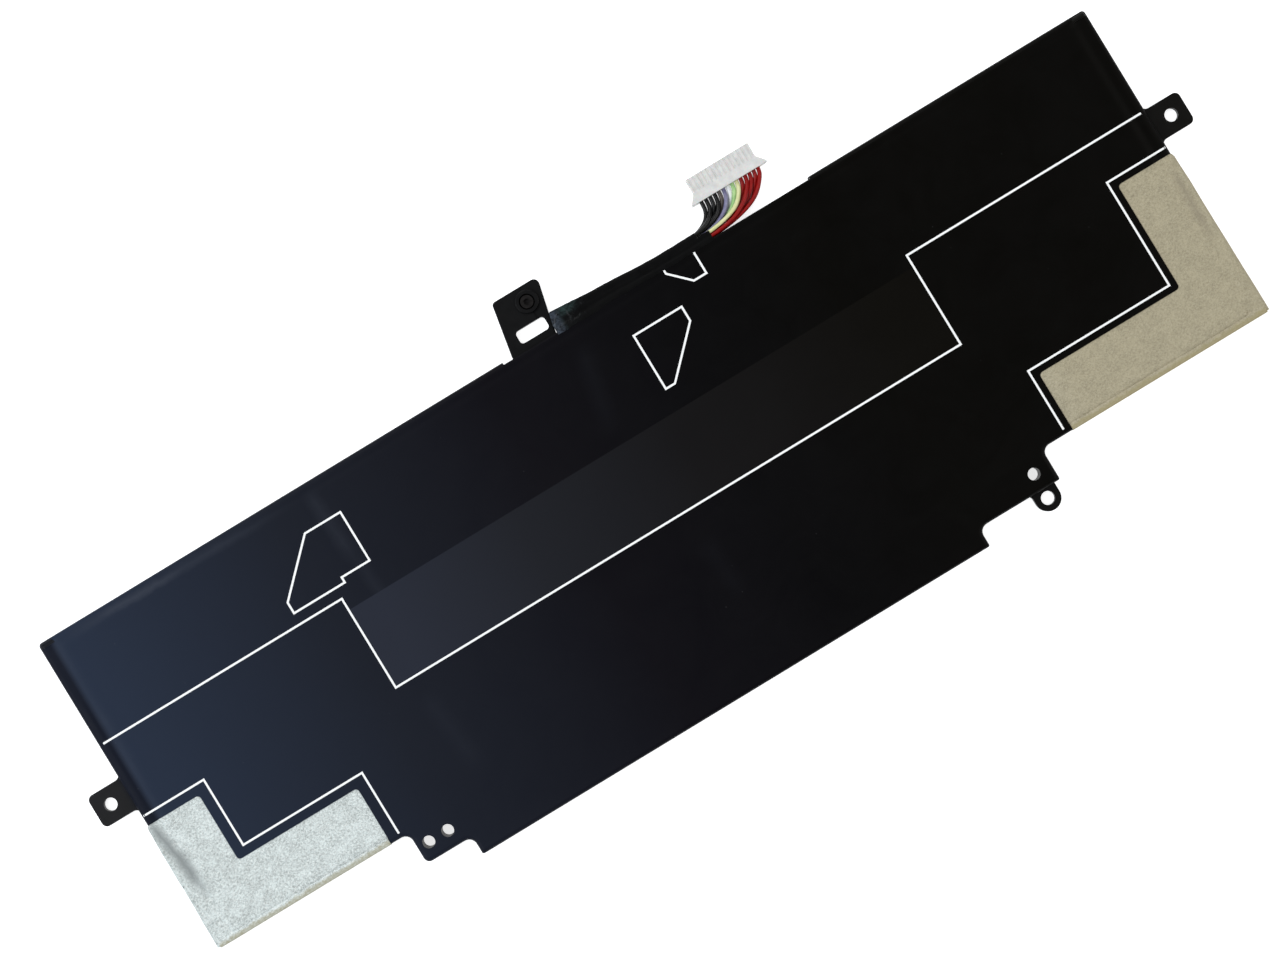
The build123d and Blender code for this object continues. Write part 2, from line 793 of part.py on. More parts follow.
def plug_housing():
    outline = outline_face(
        0,
        (plug_x0, plug_front_d), (plug_x0, plug_shoulder_d), (plug_x0 - plug_flange, plug_lip_d),
        (plug_x0 - plug_flange, plug_rear_d), (plug_x1 + plug_flange, plug_rear_d),
        (plug_x1 + plug_flange, plug_lip_d), (plug_x1, plug_shoulder_d), (plug_x1, plug_front_d),
    )
    top = plug_z0 + plug_h
    housing = rise(outline, plug_z0, top)
    for end in (0, -1):
        housing = fillet(housing.faces().sort_by(Axis.Z)[end].edges(), plug_edge_r)
    for x in pin_places():
        housing -= block(
            x - slot_w / 2, x + slot_w / 2, plug_front_d - 1, plug_front_d + slot_depth,
            plug_z - slot_h / 2, plug_z + slot_h / 2,
        )
        housing -= block(
            x - groove_w / 2, x + groove_w / 2, plug_front_d - 1, plug_shoulder_d,
            top - groove_depth, top + 1,
        )
        entry = Plane(origin=(px(x), py(plug_rear_d - entry_depth), plug_z), z_dir=(0, -1, 0))
        housing -= extrude(entry * Circle(wire_d / 2 + entry_gap), amount=entry_depth + 1)
    return housing


def plug_contacts():
    """A crimped terminal in each slot of the plug: a square tube, open to the front."""
    contacts = []
    half_w = slot_w / 2 - contact_gap
    half_h = slot_h / 2 - contact_gap
    d1 = plug_front_d + slot_depth
    d0 = plug_front_d + contact_setback
    for x in pin_places():
        shell = block(x - half_w, x + half_w, d0, d1, plug_z - half_h, plug_z + half_h)
        shell -= block(
            x - half_w + contact_wall, x + half_w - contact_wall, d0 - 1, d1 - contact_wall,
            plug_z - half_h + contact_wall, plug_z + half_h - contact_wall,
        )
        contacts.append(shell)
    return contacts


# Print
def strip_line(*points):
    """A printed line through the points, which turns only by right angles."""
    line = Sketch()
    for (xa, da), (xb, db) in zip(points, points[1:]):
        half = line_w / 2
        line += rect(min(xa, xb) - half, max(xa, xb) + half, min(da, db) - half, max(da, db) + half)
    return line


def ring_line(from_x, points):
    """A printed line round a closed shape, its x places counted from from_x."""
    face = outline_face(from_x, *points)
    outer = offset(face, amount=line_w / 2, kind=Kind.INTERSECTION)
    return outer - offset(face, amount=-line_w / 2, kind=Kind.INTERSECTION)


def printed_lines(outline):
    lines = strip_line(
        (print_end, line_upper_d), (panel_x0, line_upper_d), (panel_x0, line_lower_d),
        (panel_x1, line_lower_d), (panel_x1, line_upper_d), (body_w - print_end, line_upper_d),
    )
    left_d = (left_step_d - left_print_d_gap, window_d - left_print_d_gap)
    left_x = (left_step_x + left_print_x_gap, left_window_x + left_print_x_gap)
    lines += strip_line(
        (0, left_d[0]), (left_x[0], left_d[0]), (left_x[0], left_d[1]), (left_x[1], left_d[1]),
        (left_x[1], body_h),
    )
    right_d = (right_step_d - right_print_gap, window_d - right_print_gap)
    right_x = (right_step_x - right_print_gap, right_window_x - right_print_gap)
    lines += strip_line(
        (body_w, right_d[0]), (right_x[0], right_d[0]), (right_x[0], right_d[1]),
        (right_x[1], right_d[1]), (right_x[1], body_h),
    )
    lines += ring_line(panel_x0, left_outline)
    lines += ring_line(mid_x, middle_outline)
    lines += ring_line(mid_x, edge_outline)
    lines &= offset(outline, amount=-edge_r, kind=Kind.INTERSECTION)
    return rise(lines, pack_t, pack_t + line_t)


def matte_strip():
    half = line_w / 2
    return block(panel_x0 + half, panel_x1 - half, strip_d0, line_lower_d - half, pack_t, pack_t + strip_t)


def build():
    outline = pack_outline()
    save("back_film", back_film(outline))
    save("front_film", front_film())
    save("printed_lines", printed_lines(outline))
    save("matte_strip", matte_strip())
    for index in range(4):
        save(f"cell_{index + 1}", pouch_cell(index))
    save("aluminium_tabs", [foil(index, 0) for index in range(4)])
    save("nickel_tabs", [foil(index, 1) for index in range(4)])
    for index, side in ((0, "left"), (3, "right")):
        save(f"{side}_outer_strap", link_strap(index, 0))
        save(f"{side}_inner_strap", link_strap(index, 1))
    save("left_end_tape", end_tape(end_margin + corner_r, left_window_x - end_tape_gap))
    save("right_end_tape", end_tape(right_window_x + end_tape_gap, body_w - end_margin - corner_r))
    room = envelope(outline)
    save("left_rail", left_rail(room))
    save("right_rail", top_rail_part(False, room))
    save("ear_insert", ear_insert())
    save("left_bracket", end_bracket(True))
    save("right_bracket", end_bracket(False))
    save("board_tray", board_tray(outline, room))
    save("circuit_board", circuit_board())
    save("weld_pads", weld_pads())
    save("gauge_chip", chip_row(gauge_place, gauge_size, leads=gauge_lead_count))
    protector = chip_row(protector_place, protector_size, leads=protector_lead_count)
    save("protector_chip", protector)
    save("power_switches", chip_row(switch_place, switch_size, switch_pitch, switch_count))
    save("sense_resistor", chip_row(sense_place, sense_size))
    save("chip_fuse", chip_row(fuse_place, fuse_size))
    save("thermistors", thermistors())
    save("capacitors", chip_row(capacitor_place, capacitor_size, capacitor_pitch, capacitor_count))
    save("resistors", chip_row(resistor_place, resistor_size, resistor_pitch, resistor_count))
    save("wire_potting", wire_potting())
    inner = []
    for index, colour in enumerate(wire_colours):
        points = route(index)
        radii = arc_radii(points)
        wire, length = tube(points, radii, wire_d / 2)
        ratio = wire.volume / (pi / 4 * wire_d**2 * length)
        print(f"wire_{colour}: {length:.1f} mm, volume ratio {ratio:.4f}, radii",
              " ".join(f"{r:.1f}" for r in radii))
        save(f"wire_{colour}", wire)
        start = Plane(origin=(points[0].X, py(body_h), points[0].Z), z_dir=(0, 1, 0))
        inner.append(extrude(start * Circle(wire_d / 2), amount=body_h - harness_d0))
    save("inner_harness", inner)
    save("harness_sleeve", harness_sleeve())
    save("exit_cover", exit_cover())
    save("plug_housing", plug_housing())
    save("plug_contacts", plug_contacts())


os.makedirs("parts", exist_ok=True)
build()
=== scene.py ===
import json
from math import atan2, cos, exp, hypot, pi, radians, sin, tan

import bmesh
import bpy
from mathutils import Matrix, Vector, noise


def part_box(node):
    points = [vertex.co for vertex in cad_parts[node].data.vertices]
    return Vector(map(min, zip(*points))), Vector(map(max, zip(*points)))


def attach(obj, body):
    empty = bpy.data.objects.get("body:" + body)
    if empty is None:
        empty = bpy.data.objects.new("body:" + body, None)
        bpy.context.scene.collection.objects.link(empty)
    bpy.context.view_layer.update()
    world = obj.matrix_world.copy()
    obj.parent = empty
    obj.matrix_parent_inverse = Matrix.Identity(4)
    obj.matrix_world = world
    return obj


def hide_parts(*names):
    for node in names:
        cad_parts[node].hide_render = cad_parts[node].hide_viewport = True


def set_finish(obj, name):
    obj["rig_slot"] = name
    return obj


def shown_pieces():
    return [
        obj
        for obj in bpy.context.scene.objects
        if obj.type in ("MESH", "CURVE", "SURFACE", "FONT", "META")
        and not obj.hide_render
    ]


# A flat notebook battery seen from straight above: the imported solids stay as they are, and this
# script adds its films, pouches, tapes and wires, their finish, the light and the camera.
# Places on the pack are in millimetres: x from its left edge, d down from its upper edge, z up.

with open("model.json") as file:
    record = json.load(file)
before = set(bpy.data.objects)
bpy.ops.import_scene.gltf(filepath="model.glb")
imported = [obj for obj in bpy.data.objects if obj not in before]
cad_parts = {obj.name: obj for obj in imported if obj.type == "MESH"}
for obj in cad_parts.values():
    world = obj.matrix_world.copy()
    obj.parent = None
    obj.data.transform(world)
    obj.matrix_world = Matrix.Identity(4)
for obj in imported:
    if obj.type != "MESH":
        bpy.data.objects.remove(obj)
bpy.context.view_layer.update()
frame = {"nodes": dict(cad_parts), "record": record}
nodes = frame["nodes"]

MM = 0.001
film_low, film_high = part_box("back_film")
under_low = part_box("front_film")[0]
BODY_W = (film_high.x - film_low.x) / MM
BODY_H = (film_high.y - under_low.y) / MM
FILM_TOP = film_high.z / MM


def place(x, d, z):
    """A place on the pack as a point in the row frame."""
    return Vector((film_low.x + x * MM, film_high.y - d * MM, z * MM))


def on_pack(co):
    """The x, d and z of a point in the row frame."""
    return (co.x - film_low.x) / MM, (film_high.y - co.y) / MM, co.z / MM


def outwards(x, by):
    """The x that lies by further from the pack's middle."""
    return x + (by if x > BODY_W / 2 else -by)


def ramp(t, start, end):
    """0 before start, 1 after end, and smooth between."""
    t = min(max((t - start) / (end - start), 0.0), 1.0)
    return t * t * (3 - 2 * t)


def bell(t, centre, half):
    """1 at the centre, and about a third of that at half from it."""
    return exp(-(((t - centre) / half) ** 2))


def between(t, start, end, soft):
    """1 from start to end, fading over soft on each side of both."""
    return ramp(t, start - soft, start + soft) * (1 - ramp(t, end - soft, end + soft))


def waves(x, d, size, seed=0.0):
    """Smooth noise from about -1 to 1 with features of the given size."""
    return noise.noise(Vector((x / size, d / size, seed)))


# Camera, straight above the film, with the pack turned as the photograph shows it
PHOTO_W, PHOTO_PX_PER_MM = 1280, 4.6
VIEW_TURN = radians(31.29)
VIEW_X, VIEW_D = 130.7, 37.4
VIEW_HEIGHT = 600.0
SENSOR = 36.0

camera_data = bpy.data.cameras.new("camera")
camera_data.sensor_width = SENSOR
camera_data.lens = SENSOR * VIEW_HEIGHT * PHOTO_PX_PER_MM / PHOTO_W
camera = bpy.data.objects.new("camera", camera_data)
camera.location = place(VIEW_X, VIEW_D, FILM_TOP + VIEW_HEIGHT)
camera.rotation_euler = (0, 0, -VIEW_TURN)
bpy.context.scene.collection.objects.link(camera)
bpy.context.scene.camera = camera


# Harness: the same routes as the solids have. The bundle runs through BUNDLE_X and BUNDLE_D. Each
# step of the fan gives how far its point stands before the wire's entry and where it is in d, each
# for the first wire and then what the last wire has more. The drop's steps end with the share of
# the wire's height over the plug's middle that is left there
WIRE_D = 0.84
WIRES_PER_LANE, MID_LEVEL = 5, 2
LEVEL_PITCH, LANE_PITCH = 0.85, 0.88
CHANNEL_X = 132.6
BEND_X, BEND_D = 137.2, 1.3
HARNESS_D0 = 4.0
MID_Z, PLUG_Z = 2.3, 1.7
BUNDLE_X = (141.6, 148.2, 154.6, 161.2)
BUNDLE_D = (-1.93, -1.66, -1.10, -0.92)
PIN_X0, PIN_PITCH = 173.7, 1.115
PLUG_REAR_D, ENTRY_DEPTH, ENTRY_START_D = -7.6, 1.4, -6.9
FAN_LANE_D = -0.87
FAN_LEAD_X, FAN_LEAD_STEP, FAN_LEAD_D = 166.6, 0.4, 0.14
FAN_LANE_STEPS = ((8.0, 4.8, 0.0, 0.0), (4.5, 3.1, -0.28, -0.57))
FAN_DROP_STEPS = ((1.65, 1.95, -3.2, 0.7, 0.72), (0.3, 0.8, -5.0, -0.1, 0.25))

# Each wire's colour, its level in the bundle from below, and its length
WIRES = (
    ("black_1", 2, 51.3), ("black_2", 4, 52.6), ("black_3", 1, 53.3), ("black_4", 3, 54.5),
    ("brown", 0, 55.5), ("violet", 3, 55.5), ("white", 0, 56.5), ("green", 2, 57.5),
    ("yellow", 4, 58.8), ("red_1", 1, 59.6), ("red_2", 4, 59.8), ("red_3", 2, 60.6),
    ("red_4", 0, 61.7), ("red_5", 3, 62.8),
)


def bundle_points(lane, z):
    """The stretch from the channel to the end of the sleeve."""
    r = BEND_X - CHANNEL_X - lane * LANE_PITCH
    cut = r * tan(pi / 8)
    shift = (lane - 1) * LANE_PITCH
    points = [
        (BEND_X - r, HARNESS_D0, z),
        (BEND_X - r, BEND_D - cut, z),
        (BEND_X - cut, BEND_D - r, z),
    ]
    return points + [(x, d + shift, z) for x, d in zip(BUNDLE_X, BUNDLE_D)]


def fan_points(index, z):
    """The stretch from the sleeve to the plug, opening out to one wire per entry."""
    lane = index // WIRES_PER_LANE
    share = index / (len(WIRES) - 1)
    x = PIN_X0 + index * PIN_PITCH
    lane_d = FAN_LANE_D + (lane - 1) * LANE_PITCH
    drop = z - PLUG_Z
    points = []
    if lane > 0:
        points.append((FAN_LEAD_X + FAN_LEAD_STEP * lane, lane_d + FAN_LEAD_D, z))
    for back, back_more, d, d_more in FAN_LANE_STEPS:
        points.append((x - back - back_more * share, lane_d + d + d_more * share, z))
    for back, back_more, d, d_more, left in FAN_DROP_STEPS:
        points.append((x - back - back_more * share, d + d_more * share, PLUG_Z + left * drop))
    points.append((x, ENTRY_START_D, PLUG_Z))
    points.append((x, PLUG_REAR_D - ENTRY_DEPTH, PLUG_Z))
    return points


# In the fan the photograph shows the wires closer together, so they swell a little there
FAN_SWELL = 1.18


def wire_curve(name, points):
    """A wire along its route. Its points' radii hold its size, because they count in its box."""
    data = bpy.data.curves.new(name, "CURVE")
    data.dimensions = "3D"
    spline = data.splines.new("NURBS")
    spline.points.add(len(points) - 1)
    for knot, (x, d, z) in zip(spline.points, points):
        knot.co = (*place(x, d, z), 1)
        knot.radius = WIRE_D / 2 * MM
    for knot in spline.points[-4:-1]:
        knot.radius *= FAN_SWELL
    spline.order_u = 3
    spline.use_endpoint_u = True
    spline.resolution_u = 10
    data.bevel_depth = 1.0
    data.bevel_resolution = 5
    data.use_fill_caps = True
    wire = bpy.data.objects.new(name, data)
    bpy.context.scene.collection.objects.link(wire)
    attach(wire, "root")
    return wire


for index, (colour, level, length) in enumerate(WIRES):
    z = MID_Z + (level - MID_LEVEL) * LEVEL_PITCH
    points = bundle_points(index // WIRES_PER_LANE, z) + fan_points(index, z)
    wire = wire_curve(f"lead_{colour}", points)
    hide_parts(f"wire_{colour}")
    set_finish(wire, f"wire_{colour.split('_')[0]}")


# Meshes
MERGE_DIST, CUT_DIST = 0.002 * MM, 0.0005 * MM
FLAT_ANGLE = radians(0.5)
UPRIGHT, SAME_WAY, LEAST_SUM = 0.5, 0.999, 0.2


def new_piece(name, verts, faces, slot, replaced=(), sharp=35):
    """A piece from its points and faces, riding on the pack, with edges over sharp degrees kept."""
    mesh = bpy.data.meshes.new(name)
    mesh.from_pydata(verts, [], faces)
    mesh.shade_smooth()
    mesh.set_sharp_from_angle(angle=radians(sharp))
    piece = bpy.data.objects.new(name, mesh)
    bpy.context.scene.collection.objects.link(piece)
    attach(piece, "root")
    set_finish(piece, slot)
    if replaced:
        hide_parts(*replaced)
    return piece


def cad_bmesh(node):
    """The node's mesh with its split corners merged and its flat faces whole."""
    source = nodes[node].data
    mesh = bpy.data.meshes.new("scratch")
    mesh.from_pydata([v.co for v in source.vertices], [], [p.vertices[:] for p in source.polygons])
    bm = bmesh.new()
    bm.from_mesh(mesh)
    bpy.data.meshes.remove(mesh)
    bmesh.ops.remove_doubles(bm, verts=bm.verts, dist=MERGE_DIST)
    bmesh.ops.dissolve_limit(
        bm, angle_limit=FLAT_ANGLE, verts=bm.verts, edges=bm.edges, use_dissolve_boundaries=False,
    )
    return bm


def cut_at(bm, xs, ds):
    """Cuts the mesh along each x and each d, so that it can bend there."""
    cuts = [(place(x, 0, 0), Vector((1, 0, 0))) for x in xs]
    cuts += [(place(0, d, 0), Vector((0, 1, 0))) for d in ds]
    for point, normal in cuts:
        geometry = bm.verts[:] + bm.edges[:] + bm.faces[:]
        bmesh.ops.bisect_plane(bm, geom=geometry, dist=CUT_DIST, plane_co=point, plane_no=normal)


def spread(start, end, step):
    """Places from start to end, about step apart."""
    count = max(1, round((end - start) / step))
    return [start + (end - start) * i / count for i in range(count + 1)]


def draw_in(bm, by):
    """Moves the upright sides of a flat shape inwards by so many mm."""
    moved = {}
    for v in bm.verts:
        sides = []
        for f in v.link_faces:
            upright = abs(f.normal.z) < UPRIGHT
            if upright and all(f.normal.dot(n) < SAME_WAY for n in sides):
                sides.append(f.normal.copy())
        if sides:
            whole = sum(sides, Vector())
            moved[v] = whole * (len(sides) / max(whole.length_squared, LEAST_SUM))
    for v, way in moved.items():
        v.co -= way * by * MM


def bent_copy(node, name, xs, ds, bend, slot, sharp=35, inwards=0.0):
    """A copy of a node, cut at xs and ds, with each of its points moved by bend(x, d, z)."""
    bm = cad_bmesh(node)
    if inwards:
        bm.normal_update()
        draw_in(bm, inwards)
    cut_at(bm, xs, ds)
    verts = [place(*bend(*on_pack(v.co))) for v in bm.verts]
    bm.verts.index_update()
    faces = [[v.index for v in f.verts] for f in bm.faces]
    bm.free()
    return new_piece(name, verts, faces, slot, (node,), sharp)


# Relief of the film: it rolls off over the folded side seals, sinks between the cells and along
# the rails, and hangs a little slack over the board. A fold has its middle, half width and height
SEAL_DROP, SEAL_IN, SEAL_OUT = 0.30, 2.7, 4.7
SEAL_END_D = (70, 76)
SEAL_RIDGE, LEFT_RIDGE_D, RIGHT_RIDGE_D = (1.75, 0.45, 0.08), (16, 43, 1.5), (14, 36, 1.5)
SEAL_SHOULDER, SHOULDER_FADE_D = (5.6, 1.0, 0.03), (30, 60)
CELL_LINES = ((68.3, 1.5, 0.085), (132.6, 1.6, 0.06), (199.0, 1.6, 0.05))
LINE_WANDER, LINE_FADE_D = 0.5, (66, 72)
SLACK_LINE, SLACK_LINE_D = (139.7, 1.2, -0.025), (48, 64, 4)
RAIL_GROOVE, RAIL_CREST, RAIL_X = (2.2, 0.55, -0.07), (3.6, 1.0, 0.02), (3, BODY_W - 3, 2)
BAY_SAG, BAY_X = 0.07, (60.6, 187, 0.8)
BAY_START_D, BAY_END_D = (BODY_H + 0.6, BODY_H + 2.5), (BODY_H + 10.6, BODY_H + 11.4)
BAY_LINE, BAY_LINE_X = (BODY_H - 0.6, 1.0, -0.03), (50, 206, 4)
FILM_SIDE_Z = (FILM_TOP - 1.6, FILM_TOP - 0.3)


def fold(t, shape):
    """The height at t of a fold or, below zero, of a hollow."""
    middle, half, height = shape
    return height * bell(t, middle, half)


def relief(x, d):
    """How far the film's face stands above or below its flat place, in mm."""
    side = min(x, BODY_W - x)
    h = -SEAL_DROP * (1 - ramp(side, SEAL_IN, SEAL_OUT)) * (1 - ramp(d, *SEAL_END_D))
    ridge_d = LEFT_RIDGE_D if x < BODY_W / 2 else RIGHT_RIDGE_D
    h += fold(side, SEAL_RIDGE) * between(d, *ridge_d)
    h += fold(side, SEAL_SHOULDER) * (1 - ramp(d, *SHOULDER_FADE_D))
    for line_x, half, depth in CELL_LINES:
        wander = LINE_WANDER * waves(d, line_x, 14, 3.1)
        h -= depth * bell(x, line_x + wander, half) * (1 - ramp(d, *LINE_FADE_D))
    h += fold(x, SLACK_LINE) * between(d, *SLACK_LINE_D)
    h += fold(d, RAIL_GROOVE) * between(x, *RAIL_X)
    h += fold(d, RAIL_CREST) * between(x, *RAIL_X)
    in_bay = ramp(d, *BAY_START_D) * (1 - ramp(d, *BAY_END_D))
    h -= BAY_SAG * in_bay * between(x, *BAY_X)
    h += fold(d, BAY_LINE) * between(x, *BAY_LINE_X)
    h += 0.030 * waves(x, d, 26) + 0.012 * waves(x, d, 9, 5.2)
    return h


def film_bend(x, d, z):
    """The film's face follows the relief, its sides fade out of it and its lower edge stays."""
    return x, d, z + relief(x, d) * ramp(z, *FILM_SIDE_Z)


# The film is cut finely near its ends and its upper edge, and more coarsely between
COARSE = 1.9
FINE_X = spread(0.2, 7.4, 0.45)
film_xs = FINE_X + spread(9, BODY_W - 9, COARSE) + [BODY_W - x for x in FINE_X]
film_ds = spread(0.2, 4.6, 0.4) + spread(6, 88, COARSE)
bent_copy("back_film", "film_skin", film_xs, film_ds, film_bend, "black_film")

# The print is drawn in on each side, so that it reads as wide as in the photograph
PRINT_INSET, PRINT_LIFT = 0.07, 0.01
PRINT_REACH, REACH_SIDE, REACH_D = 0.75, (1.1, 2.4), (29, 32)
FILM_EDGE_R = 1.1


def print_bend(x, d, z):
    """The printed lines, those beside the windows carried on over the film's rounded edge."""
    side = min(x, BODY_W - x)
    reach = PRINT_REACH * (1 - ramp(side, *REACH_SIDE)) * ramp(d, *REACH_D)
    new_side = side - reach
    x = outwards(x, side - new_side)
    lean = max(FILM_EDGE_R - new_side, 0.0)
    drop = FILM_EDGE_R - (FILM_EDGE_R**2 - lean**2) ** 0.5
    return x, d, film_bend(x, d, z)[2] - drop + PRINT_LIFT


bent_copy(
    "printed_lines", "film_print", film_xs, film_ds, print_bend, "white_print",
    inwards=PRINT_INSET,
)
bent_copy("matte_strip", "film_panel", film_xs, film_ds, film_bend, "charcoal_strip")

UNDER_DEPTH, UNDER_SIDE = 0.09, (2.2, 4.4)
UNDER_LEVEL, UNDER_WAVE = 0.02, 0.02
UNDER_D = (1.6, BODY_H - 1.6, 1.2)
CORNER_SIDE, CORNER_D = (0.2, 1.5), (BODY_H - 1.3, BODY_H - 0.3)
CORNER_OUT, CORNER_DOWN = 1.15, 0.2


def under_bend(x, d, z):
    """The film below, drawn up a little between the cells and over the seals."""
    side = min(x, BODY_W - x)
    h = UNDER_DEPTH * (1 - ramp(side, *UNDER_SIDE))
    for line_x, half, depth in CELL_LINES:
        h += depth * bell(x, line_x, half)
    h += UNDER_LEVEL + UNDER_WAVE * waves(x, d, 18, 8.4)
    corner = (1 - ramp(side, *CORNER_SIDE)) * ramp(d, *CORNER_D)
    up = max(h, 0.0) * between(d, *UNDER_D)
    return outwards(x, CORNER_OUT * corner), d + CORNER_DOWN * corner, z + up


under_ds = spread(0.4, BODY_H - 0.4, 2.2)
bent_copy("front_film", "under_skin", film_xs, under_ds, under_bend, "plain_film")

# Bare pouch corners: below the window's edge the folded seal opens outwards, and the laminate is
# creased beside it and dimpled by its filling. A crease runs from one (side, d) to another. The
# seal opens by each amount between two places counted from the window's edge
POUCH_STEP = 0.7
LEFT_STEP_D, RIGHT_STEP_D = 46.1, 36.6
LEFT_WAVE, RIGHT_WAVE = 0.16, 0.05
LEFT_CREASE = ((0.7, 45.4), (3.5, 65.0))
RIGHT_CREASE = ((1.7, 40.0), (2.0, 57.0))
CREASE_HALF, CREASE_DEPTH, CREASE_WANDER, CREASE_SOFT = 0.55, 0.30, 0.2, 3
SEAL_OPENS = ((1.05, -0.7, 0.7), (0.15, 0.0, 8.0))
SEAL_END_OPEN, SEAL_END_START = 0.20, 12
OPEN_SIDE, WAVE_SIDE = (1.0, 3.6), (0.5, 2.5)
POUCH_FACE_Z = (2.4, 3.8)
SHOULDER_FROM_Z, SHOULDER_Z, SHOULDER_RISE = 4.0, 4.1, 0.33
SHOULDER_SIDE, SHOULDER_END_D = (1.4, 4.7), 74.5
END_DROP, END_DROP_D, END_DROP_SIDE = 0.50, (74.8, 76.3), (3.0, 4.2)
MOST_BULGE = 0.08


def pouch_bend(outer_x, sign, step_d, crease, wave):
    """How the laminate of an outer cell moves, sign being the way from its seal to its middle."""
    (side0, d0), (side1, d1) = crease

    def bend(x, d, z):
        side = (x - outer_x) * sign
        face = ramp(z, *POUCH_FACE_Z)
        if side < SHOULDER_SIDE[1] and z > SHOULDER_FROM_Z and d < SHOULDER_END_D:
            z = max(z, SHOULDER_Z + SHOULDER_RISE * ramp(side, *SHOULDER_SIDE))
        middle = side0 + (side1 - side0) * (d - d0) / (d1 - d0)
        middle += CREASE_WANDER * waves(d, 0, 5, 2.2)
        h = -CREASE_DEPTH * bell(side, middle, CREASE_HALF) * between(d, d0, d1, CREASE_SOFT)
        h += 0.05 * waves(x, d, 11, 1.3) + 0.02 * waves(x, d, 3.1, 4.4)
        opening = sum(by * ramp(d, step_d + t0, step_d + t1) for by, t0, t1 in SEAL_OPENS)
        opening += SEAL_END_OPEN * ramp(d, step_d + SEAL_END_START, BODY_H)
        out = opening * (1 - ramp(side, *OPEN_SIDE))
        out += wave * waves(d, z, 6, 9.1) * (1 - ramp(side, *WAVE_SIDE))
        down = END_DROP * ramp(d, *END_DROP_D) * (1 - ramp(side, *END_DROP_SIDE))
        return x - sign * out, d + down, z + min(h * face, MOST_BULGE)

    return bend


left_bend = pouch_bend(0.0, 1, LEFT_STEP_D, LEFT_CREASE, LEFT_WAVE)
right_bend = pouch_bend(BODY_W, -1, RIGHT_STEP_D, RIGHT_CREASE, RIGHT_WAVE)
left_xs, left_ds = spread(0.6, 45.5, POUCH_STEP), spread(43, 77, POUCH_STEP)
right_xs = spread(BODY_W - 52, BODY_W - 0.6, POUCH_STEP)
right_ds = spread(34, 77, POUCH_STEP)
bent_copy("cell_1", "pouch_left", left_xs, left_ds, left_bend, "pouch", sharp=50)
bent_copy("cell_4", "pouch_right", right_xs, right_ds, right_bend, "pouch", sharp=50)

# Thin tape over each bare end: its free edge is sunk into the laminate, rippled and ragged
TAPE_FREE_D, TAPE_EDGE_D = (75.2, 76.2), (76.3, 76.8)
TAPE_OUT, TAPE_OUT_SIDE = 1.35, (1.2, 3.4)
TAPE_RAGGED, TAPE_LAP = 0.30, 0.22
TAPE_SINK, TAPE_FACE_Z = 0.39, (3.6, 4.3)


def tape_bend(x, d, z):
    """The tape over a bare end, pulled outwards with the seal below it."""
    free = 1 - ramp(d, *TAPE_FREE_D)
    ripple = 0.02 * waves(x, 0, 1.7, 6.6) + 0.01 * waves(x, 0, 0.6, 2.6) - TAPE_SINK
    side = min(x, BODY_W - x)
    x = outwards(x, TAPE_OUT * (1 - ramp(side, *TAPE_OUT_SIDE)))
    edge = TAPE_RAGGED * waves(x, 0, 4.5, 7.7) * free + TAPE_LAP * ramp(d, *TAPE_EDGE_D)
    return x, d + edge, z + ripple * free * ramp(z, *TAPE_FACE_Z)


tape_ds = spread(75.2, 76.9, 0.3)
for node, name, x0, x1 in (
    ("left_end_tape", "tape_left", 1.2, 43.4),
    ("right_end_tape", "tape_right", 216.8, 265.2),
):
    bent_copy(node, name, spread(x0, x1, 0.5), tape_ds, tape_bend, "tan_tape")


# Tubes along a route
def smooth_route(points, step):
    """Points every step mm or so along the quadratic curve that the route's corners shape."""
    corners = [Vector(p) for p in points]
    mids = [(a + b) / 2 for a, b in zip(corners, corners[1:])]
    mids[0], mids[-1] = corners[0], corners[-1]
    out = []
    for start, corner, end in zip(mids, corners[1:-1], mids[1:]):
        count = max(3, round((end - start).length / step))
        for i in range(count):
            t = i / count
            out.append(start * (1 - t) ** 2 + corner * 2 * t * (1 - t) + end * t * t)
    return out + [mids[-1]]


def ring_tube(route, section):
    """Rings of points round a route in x, d and z; section(t, s) gives the ring at arc s."""
    verts, faces, s = [], [], 0.0
    count = len(section(0.0, 0.0))
    for i, here in enumerate(route):
        before, after = route[max(i - 1, 0)], route[min(i + 1, len(route) - 1)]
        along = (after - before).normalized()
        side = Vector((-along.y, along.x, 0)).normalized()
        if i:
            s += (here - before).length
        for across, up in section(i / (len(route) - 1), s):
            verts.append(place(*(here + side * across + Vector((0, 0, up)))))
        if i:
            a, b = (i - 1) * count, i * count
            faces += [
                [a + k, a + (k + 1) % count, b + (k + 1) % count, b + k] for k in range(count)
            ]
    faces.append(list(range(count))[::-1])
    faces.append(list(range(len(verts) - count, len(verts))))
    return verts, faces


SLEEVE_START = 0.4
SLEEVE_END = (168.6, -1.02, MID_Z)
SLEEVE_HALF_WIDE, SLEEVE_HALF_TALL, SLEEVE_CORNER = 1.42, 2.2, 0.62
SLEEVE_STEP, SLEEVE_SIDES = 0.3, 48
WRAP_PITCH, WRAP_STEP, WRAP_MEAN = 5.2, 0.06, 0.03
WRAP_CREASE = 0.05


